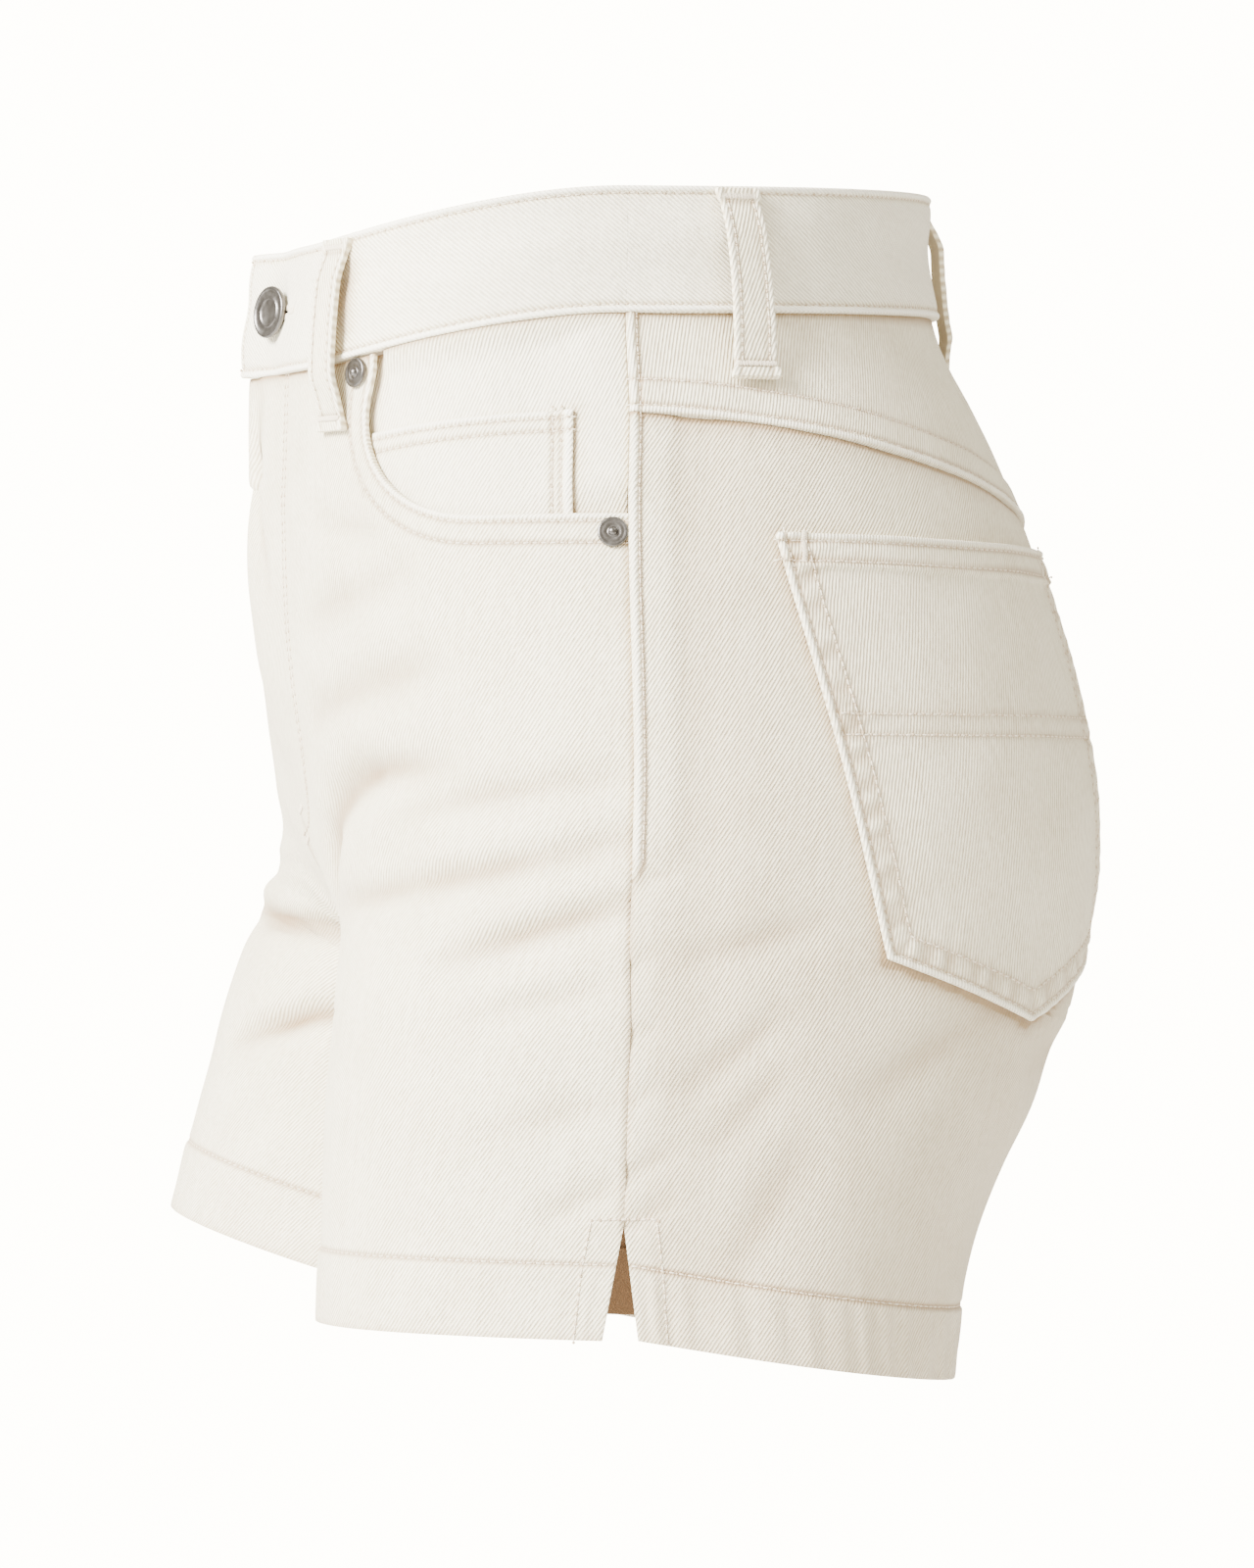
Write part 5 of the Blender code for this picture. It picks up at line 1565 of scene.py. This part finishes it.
def inside_finish(name, cloth):
    """The wrong side of the cloth: the same yarns, tanner and rougher, and painted shade: dark brown deep
    down in the legs.
    """
    recipe = Recipe(name)
    yarn = recipe.noise(recipe.placed(recipe.weave(), (1.6, 0.5, 1.0), math.radians(28)), 1.0, 3.0, 0.6)
    # Painted shade: the wrong side darkens from the waist down into the legs
    height = recipe.out("ShaderNodeSeparateXYZ", {"Vector": recipe.place()}, "Z")
    up = recipe.out("ShaderNodeMapRange", {"Value": height, "From Min": -0.25, "From Max": -0.12})
    tone = recipe.mix(up, cloth.inside, cloth.inside_upper)
    colour = recipe.mix(yarn, recipe.mix(0.8, (0.0, 0.0, 0.0), tone), tone)
    return recipe.finish(colour, 0.9, recipe.bump(0.6, 0.0003, yarn), Specular_IOR_Level=0.2)


def thread_finish(name, colour, deep):
    """Spun thread, a little darker in its twist."""
    recipe = Recipe(name)
    place = recipe.place()
    strand = recipe.noise(recipe.placed(place, (1800.0, 1800.0, 2600.0)), 1.0, 2.0)
    tone = recipe.noise(recipe.placed(place, (60.0, 60.0, 60.0)), 1.0, 1.0)
    strand_share, tone_share = recipe.math("MULTIPLY", strand, 0.6), recipe.math("MULTIPLY", tone, 0.5)
    share = recipe.math("ADD", strand_share, tone_share, clamp=True)
    colour = recipe.mix(share, deep, colour)
    return recipe.finish(colour, 0.7, recipe.bump(0.5, 0.0001, strand), Sheen_Weight=0.1)


def nickel(name, metal):
    """Antique nickel: bright and brown-grey in uneven patches."""
    recipe = Recipe(name)
    place = recipe.place()
    cloud = recipe.noise(recipe.placed(place, (420.0, 420.0, 420.0)), 1.0, 4.0, 0.6)
    fine = recipe.noise(recipe.placed(place, (3200.0, 3200.0, 3200.0)), 1.0, 2.0, 0.6)
    share = recipe.math("ADD", recipe.centred(cloud, 1.6), 0.6, clamp=True)
    rough = recipe.math("ADD", recipe.math("MULTIPLY", cloud, 0.25), metal.roughness - 0.12)
    colour = recipe.mix(share, metal.tarnish, metal.colour)
    return recipe.finish(colour, rough, recipe.bump(0.25, 0.0001, fine), Metallic=1.0)


def floor_finish(name, colour):
    """Pale and plain, with the faintest unevenness."""
    recipe = Recipe(name)
    dim = tuple(0.985 * channel for channel in colour)
    return recipe.finish(recipe.mix(recipe.noise(recipe.place(), 3.0), dim, colour), 0.8)


FINISHES = {
    "cream_twill": lambda name, scene: twill(name, scene.shorts_cloth),
    "cloth_inside": lambda name, scene: inside_finish(name, scene.shorts_cloth),
    "beige_thread": lambda name, scene: thread_finish(
        name, scene.shorts_thread.colour, scene.shorts_thread.deep
    ),
    "needle_hole": lambda name, scene: thread_finish(name, *[scene.shorts_thread.hole_shade_colour] * 2),
    "antique_nickel": lambda name, scene: nickel(name, scene.shorts_metal),
    "pale_floor": lambda name, scene: floor_finish(name, scene.shorts_stage.pale),
}


def finish_of(name):
    """A finish, made once and shared by the pieces that have it."""
    return bpy.data.materials.get(name) or FINISHES[name](name, bpy.context.scene)


# Stage

CAMERA_AT, CAMERA_LENS = (2.3635, -0.4168, -0.165), 167.24  # on the 36 mm long side of the picture
AIM = (0.0, 0.0, -0.165)
FLOOR_RADIUS, FLOOR_STEPS = 2.2, 96
Lamp = namedtuple("Lamp", "name place width power")
LIGHTS = (
    Lamp("key", (1.05, -2.3, 1.35), 1.4, 590.0),
    Lamp("fill", (1.5, 1.8, 3.0), 1.6, 62.0),
)


def aim_from(name, data, place):
    """A light or camera at its place, turned to the middle of the shorts."""
    made = add_object(name, data)
    made.location = place
    made.rotation_euler = (Vector(AIM) - Vector(place)).to_track_quat("-Z", "Y").to_euler()
    return made


def make_stage(stage):
    """A pale round floor far below, a white surround, soft lights, and the camera."""
    turns = [k * math.tau / FLOOR_STEPS for k in range(FLOOR_STEPS)]
    ring = [(FLOOR_RADIUS * math.cos(turn), FLOOR_RADIUS * math.sin(turn), stage.floor) for turn in turns]
    faces = [(k, (k + 1) % FLOOR_STEPS, FLOOR_STEPS) for k in range(FLOOR_STEPS)]
    mesh = bpy.data.meshes.new("floor")
    mesh.from_pydata(ring + [(0.0, 0.0, stage.floor)], [], faces)
    mesh.materials.append(finish_of("pale_floor"))
    add_object("floor", mesh)

    world = bpy.data.worlds.new("white surround")
    world.use_nodes = True
    bpy.context.scene.world = world
    tree = Tree(world.node_tree)
    looked = tree.out("ShaderNodeTexCoord", output="Generated")
    bright = Vector(stage.bright_side).normalized()
    towards = tree.out("ShaderNodeVectorMath", {0: looked, 1: bright}, "Value", operation="DOT_PRODUCT")
    least, most = (stage.surround_strength * (1.0 + way * stage.contrast) for way in (-1, 1))
    around = {"Value": towards, "From Min": -1.0, "To Min": least, "To Max": most}
    strength = tree.out("ShaderNodeMapRange", {
        "Value": tree.out("ShaderNodeLightPath", output="Is Camera Ray"),
        "To Min": tree.out("ShaderNodeMapRange", around), "To Max": stage.backdrop_strength,
    })
    surround = world.node_tree.nodes["Background"]
    tree.feed(surround.inputs["Color"], (*stage.surround, 1.0))
    tree.feed(surround.inputs["Strength"], strength)

    for name, place, width, power in LIGHTS:
        data = bpy.data.lights.new(name, "AREA")
        data.shape, data.size, data.energy = "DISK", width, power * stage.light
        aim_from(name, data, place)
    data = bpy.data.cameras.new("camera")
    data.sensor_fit, data.sensor_width, data.lens = "AUTO", 36.0, CAMERA_LENS
    bpy.context.scene.camera = aim_from("camera", data, CAMERA_AT)


# What a user would change, and the operators


def tint(name, description, *default):
    return bpy.props.FloatVectorProperty(
        name=name, description=description, subtype="COLOR", size=3, default=default, min=0.0, max=1.0
    )


def measure(name, description, default, low, high):
    return bpy.props.FloatProperty(
        name=name, description=description, unit="LENGTH", subtype="DISTANCE", default=default,
        min=low, max=high, precision=5,
    )


def amount(name, description, default, high, subtype="NONE"):
    return bpy.props.FloatProperty(
        name=name, description=description, subtype=subtype, default=default, min=0.0, max=high
    )


class ShortsCloth(bpy.types.PropertyGroup):
    """The twill."""

    pale: tint("Pale yarn", "Colour on the ribs of the twill", 0.93, 0.87, 0.675)
    deep: tint("Deep yarn", "Colour between the ribs", 0.50, 0.415, 0.265)
    # The roll colour stands for wear and for painted highlight on the rolls
    rubbed_and_highlit: tint("Rolls", "Colour where a seam's roll has been rubbed pale", 0.97, 0.93, 0.79)
    # The seam colour is painted shade: tan in grooves, along edges and in creases
    seam: tint("Seams", "Colour along the grooves and edges of seams", 0.34, 0.235, 0.13)
    # The inside colour is painted shade deep in the legs; the upper one is the wrong side round the waist
    inside: tint("Inside", "Colour of the cloth's wrong side", 0.20, 0.115, 0.055)
    inside_upper: tint("Inside above", "Colour of the wrong side round the waist and hips", 0.66, 0.57, 0.43)
    rib: measure("Rib spacing", "Distance between two ribs of the twill", 0.00111, 0.0003, 0.01)
    relief: measure("Weave relief", "How far the ribs stand up", 0.0004, 0.0, 0.002)


class ShortsThread(bpy.types.PropertyGroup):
    """The sewing."""

    colour: tint("Thread", "Colour of the thread", 0.80, 0.72, 0.58)
    deep: tint("Thread shade", "Colour in the thread's twist", 0.60, 0.50, 0.36)
    pitch: measure("Stitch pitch", "Distance from one stitch to the next", 0.0029, 0.001, 0.01)
    length: measure("Stitch length", "Length of a stitch that shows", 0.0023, 0.0005, 0.01)
    hole: measure("Needle hole", "Width of the hole between two stitches", 0.001, 0.0, 0.003)
    # The hole colour is painted shade in the needle holes
    hole_shade_colour: tint("Hole colour", "Colour in the needle's holes", 0.48, 0.37, 0.24)
    thickness: measure("Thread thickness", "Thickness of the thread", 0.0006, 0.0002, 0.003)


class ShortsMetal(bpy.types.PropertyGroup):
    """The button and the rivets."""

    colour: tint("Nickel", "Colour of the bright metal", 0.17, 0.16, 0.148)
    tarnish: tint("Tarnish", "Colour of the dull metal", 0.06, 0.053, 0.047)
    roughness: amount("Roughness", "How dull the metal is", 0.34, 1.0, "FACTOR")


class ShortsStage(bpy.types.PropertyGroup):
    """The floor, the surround and the lights."""

    pale: tint("Floor", "Colour of the floor", 0.90, 0.895, 0.885)
    floor: measure("Floor height", "Height of the floor under the shorts", -0.75, -2.0, -0.4)
    surround: tint("Surround", "Colour of the light all round", 1.0, 0.93, 0.79)
    surround_strength: amount("Surround strength", "Strength of the light all round", 1.22, 10.0)
    bright_side: bpy.props.FloatVectorProperty(
        name="Bright side", description="Where the surround is brightest", subtype="DIRECTION",
        size=3, default=(0.3, -0.73, 0.66),
    )
    contrast: amount(
        "Surround contrast", "How much darker the surround is on its other side", 0.5, 1.0, "FACTOR"
    )
    backdrop_strength: amount(
        "Backdrop strength", "How bright the white behind the shorts looks", 16.0, 50.0
    )
    light: amount("Lights", "Strength of the lights against what was set", 1.0, 10.0, "FACTOR")


class SHORTS_OT_fronts(bpy.types.Operator):
    """Make the two front panels, with the fly on the left one"""

    bl_idname = "shorts.fronts"
    bl_label = "Front panels"

    def execute(self, context):
        for side in (+1, -1):
            make_front(side)
        return {"FINISHED"}


class SHORTS_OT_backs(bpy.types.Operator):
    """Make the two back panels"""

    bl_idname = "shorts.backs"
    bl_label = "Back panels"

    def execute(self, context):
        for side in (+1, -1):
            make_back(side)
        return {"FINISHED"}


class SHORTS_OT_yokes(bpy.types.Operator):
    """Make the curved yokes over the back panels"""

    bl_idname = "shorts.yokes"
    bl_label = "Yokes"

    def execute(self, context):
        for side in (+1, -1):
            make_yoke(side)
        return {"FINISHED"}


class SHORTS_OT_front_pockets(bpy.types.Operator):
    """Make the facings in the front pockets' mouths, and the coin pocket"""

    bl_idname = "shorts.front_pockets"
    bl_label = "Front pockets"

    def execute(self, context):
        for side in (+1, -1):
            make_facing(side)
        make_coin_pocket()
        return {"FINISHED"}


class SHORTS_OT_back_pockets(bpy.types.Operator):
    """Make the two patch pockets on the back"""

    bl_idname = "shorts.back_pockets"
    bl_label = "Back pockets"

    def execute(self, context):
        for side in (+1, -1):
            make_back_pocket(side)
        return {"FINISHED"}


class SHORTS_OT_waistband(bpy.types.Operator):
    """Make the waistband, which laps left over right"""

    bl_idname = "shorts.waistband"
    bl_label = "Waistband"

    def execute(self, context):
        make_band()
        return {"FINISHED"}


class SHORTS_OT_loops(bpy.types.Operator):
    """Make the five belt loops"""

    bl_idname = "shorts.loops"
    bl_label = "Belt loops"

    def execute(self, context):
        make_loops()
        return {"FINISHED"}


class SHORTS_OT_metal(bpy.types.Operator):
    """Make the shank button and the rivets"""

    bl_idname = "shorts.metal"
    bl_label = "Button and rivets"

    def execute(self, context):
        make_button()
        make_rivets()
        return {"FINISHED"}


class SHORTS_OT_sewing(bpy.types.Operator):
    """Sew every row of stitches, bar tack and the buttonhole"""

    bl_idname = "shorts.sewing"
    bl_label = "Sewing"

    def execute(self, context):
        thread = context.scene.shorts_thread
        make_buttonhole()
        tree = thread_tree(finish_of("beige_thread"), finish_of("needle_hole"))
        running = (thread.pitch, thread.length, thread.thickness, thread.hole, 0.0, 0.22, 7)
        packed = (thread.thickness * 0.8, 0.0022, thread.thickness, 0.0, math.radians(78), 0.3, 11)
        for prefix, sewn, sizes in (("", SEWN, running), ("tack_", TACKED, packed)):
            for name, rows in sewn.items():
                make_thread(prefix + name, rows, tree, dict(zip(THREAD_INPUTS, sizes)))
        return {"FINISHED"}


class SHORTS_OT_stage(bpy.types.Operator):
    """Set the floor, the lights and the camera"""

    bl_idname = "shorts.stage"
    bl_label = "Stage"

    def execute(self, context):
        make_stage(context.scene.shorts_stage)
        return {"FINISHED"}


class SHORTS_PT_panel(bpy.types.Panel):
    """The shorts' sizes, colours and pieces"""

    bl_idname = "SHORTS_PT_panel"
    bl_label = "Denim shorts"
    bl_space_type = "VIEW_3D"
    bl_region_type = "UI"
    bl_category = "Shorts"

    def draw(self, context):
        for name, group in GROUPS.items():
            box = self.layout.box()
            box.label(text=group.__doc__)
            for item in group.__annotations__:
                box.prop(getattr(context.scene, name), item)
        for step in OPERATORS:
            self.layout.operator(step.bl_idname)


GROUPS = {
    "shorts_cloth": ShortsCloth,
    "shorts_thread": ShortsThread,
    "shorts_metal": ShortsMetal,
    "shorts_stage": ShortsStage,
}
OPERATORS = (
    SHORTS_OT_fronts,
    SHORTS_OT_backs,
    SHORTS_OT_yokes,
    SHORTS_OT_front_pockets,
    SHORTS_OT_back_pockets,
    SHORTS_OT_waistband,
    SHORTS_OT_loops,
    SHORTS_OT_metal,
    SHORTS_OT_sewing,
    SHORTS_OT_stage,
)


def register():
    for group in GROUPS.values():
        bpy.utils.register_class(group)
    for name, group in GROUPS.items():
        setattr(bpy.types.Scene, name, bpy.props.PointerProperty(type=group))
    for made in (*OPERATORS, SHORTS_PT_panel):
        bpy.utils.register_class(made)


def unregister():
    for made in (SHORTS_PT_panel, *reversed(OPERATORS)):
        bpy.utils.unregister_class(made)
    for name in GROUPS:
        delattr(bpy.types.Scene, name)
    for group in reversed(tuple(GROUPS.values())):
        bpy.utils.unregister_class(group)


def main():
    register()
    for step in OPERATORS:
        group, name = step.bl_idname.split(".")
        getattr(getattr(bpy.ops, group), name)()


if __name__ == "__main__":
    main()
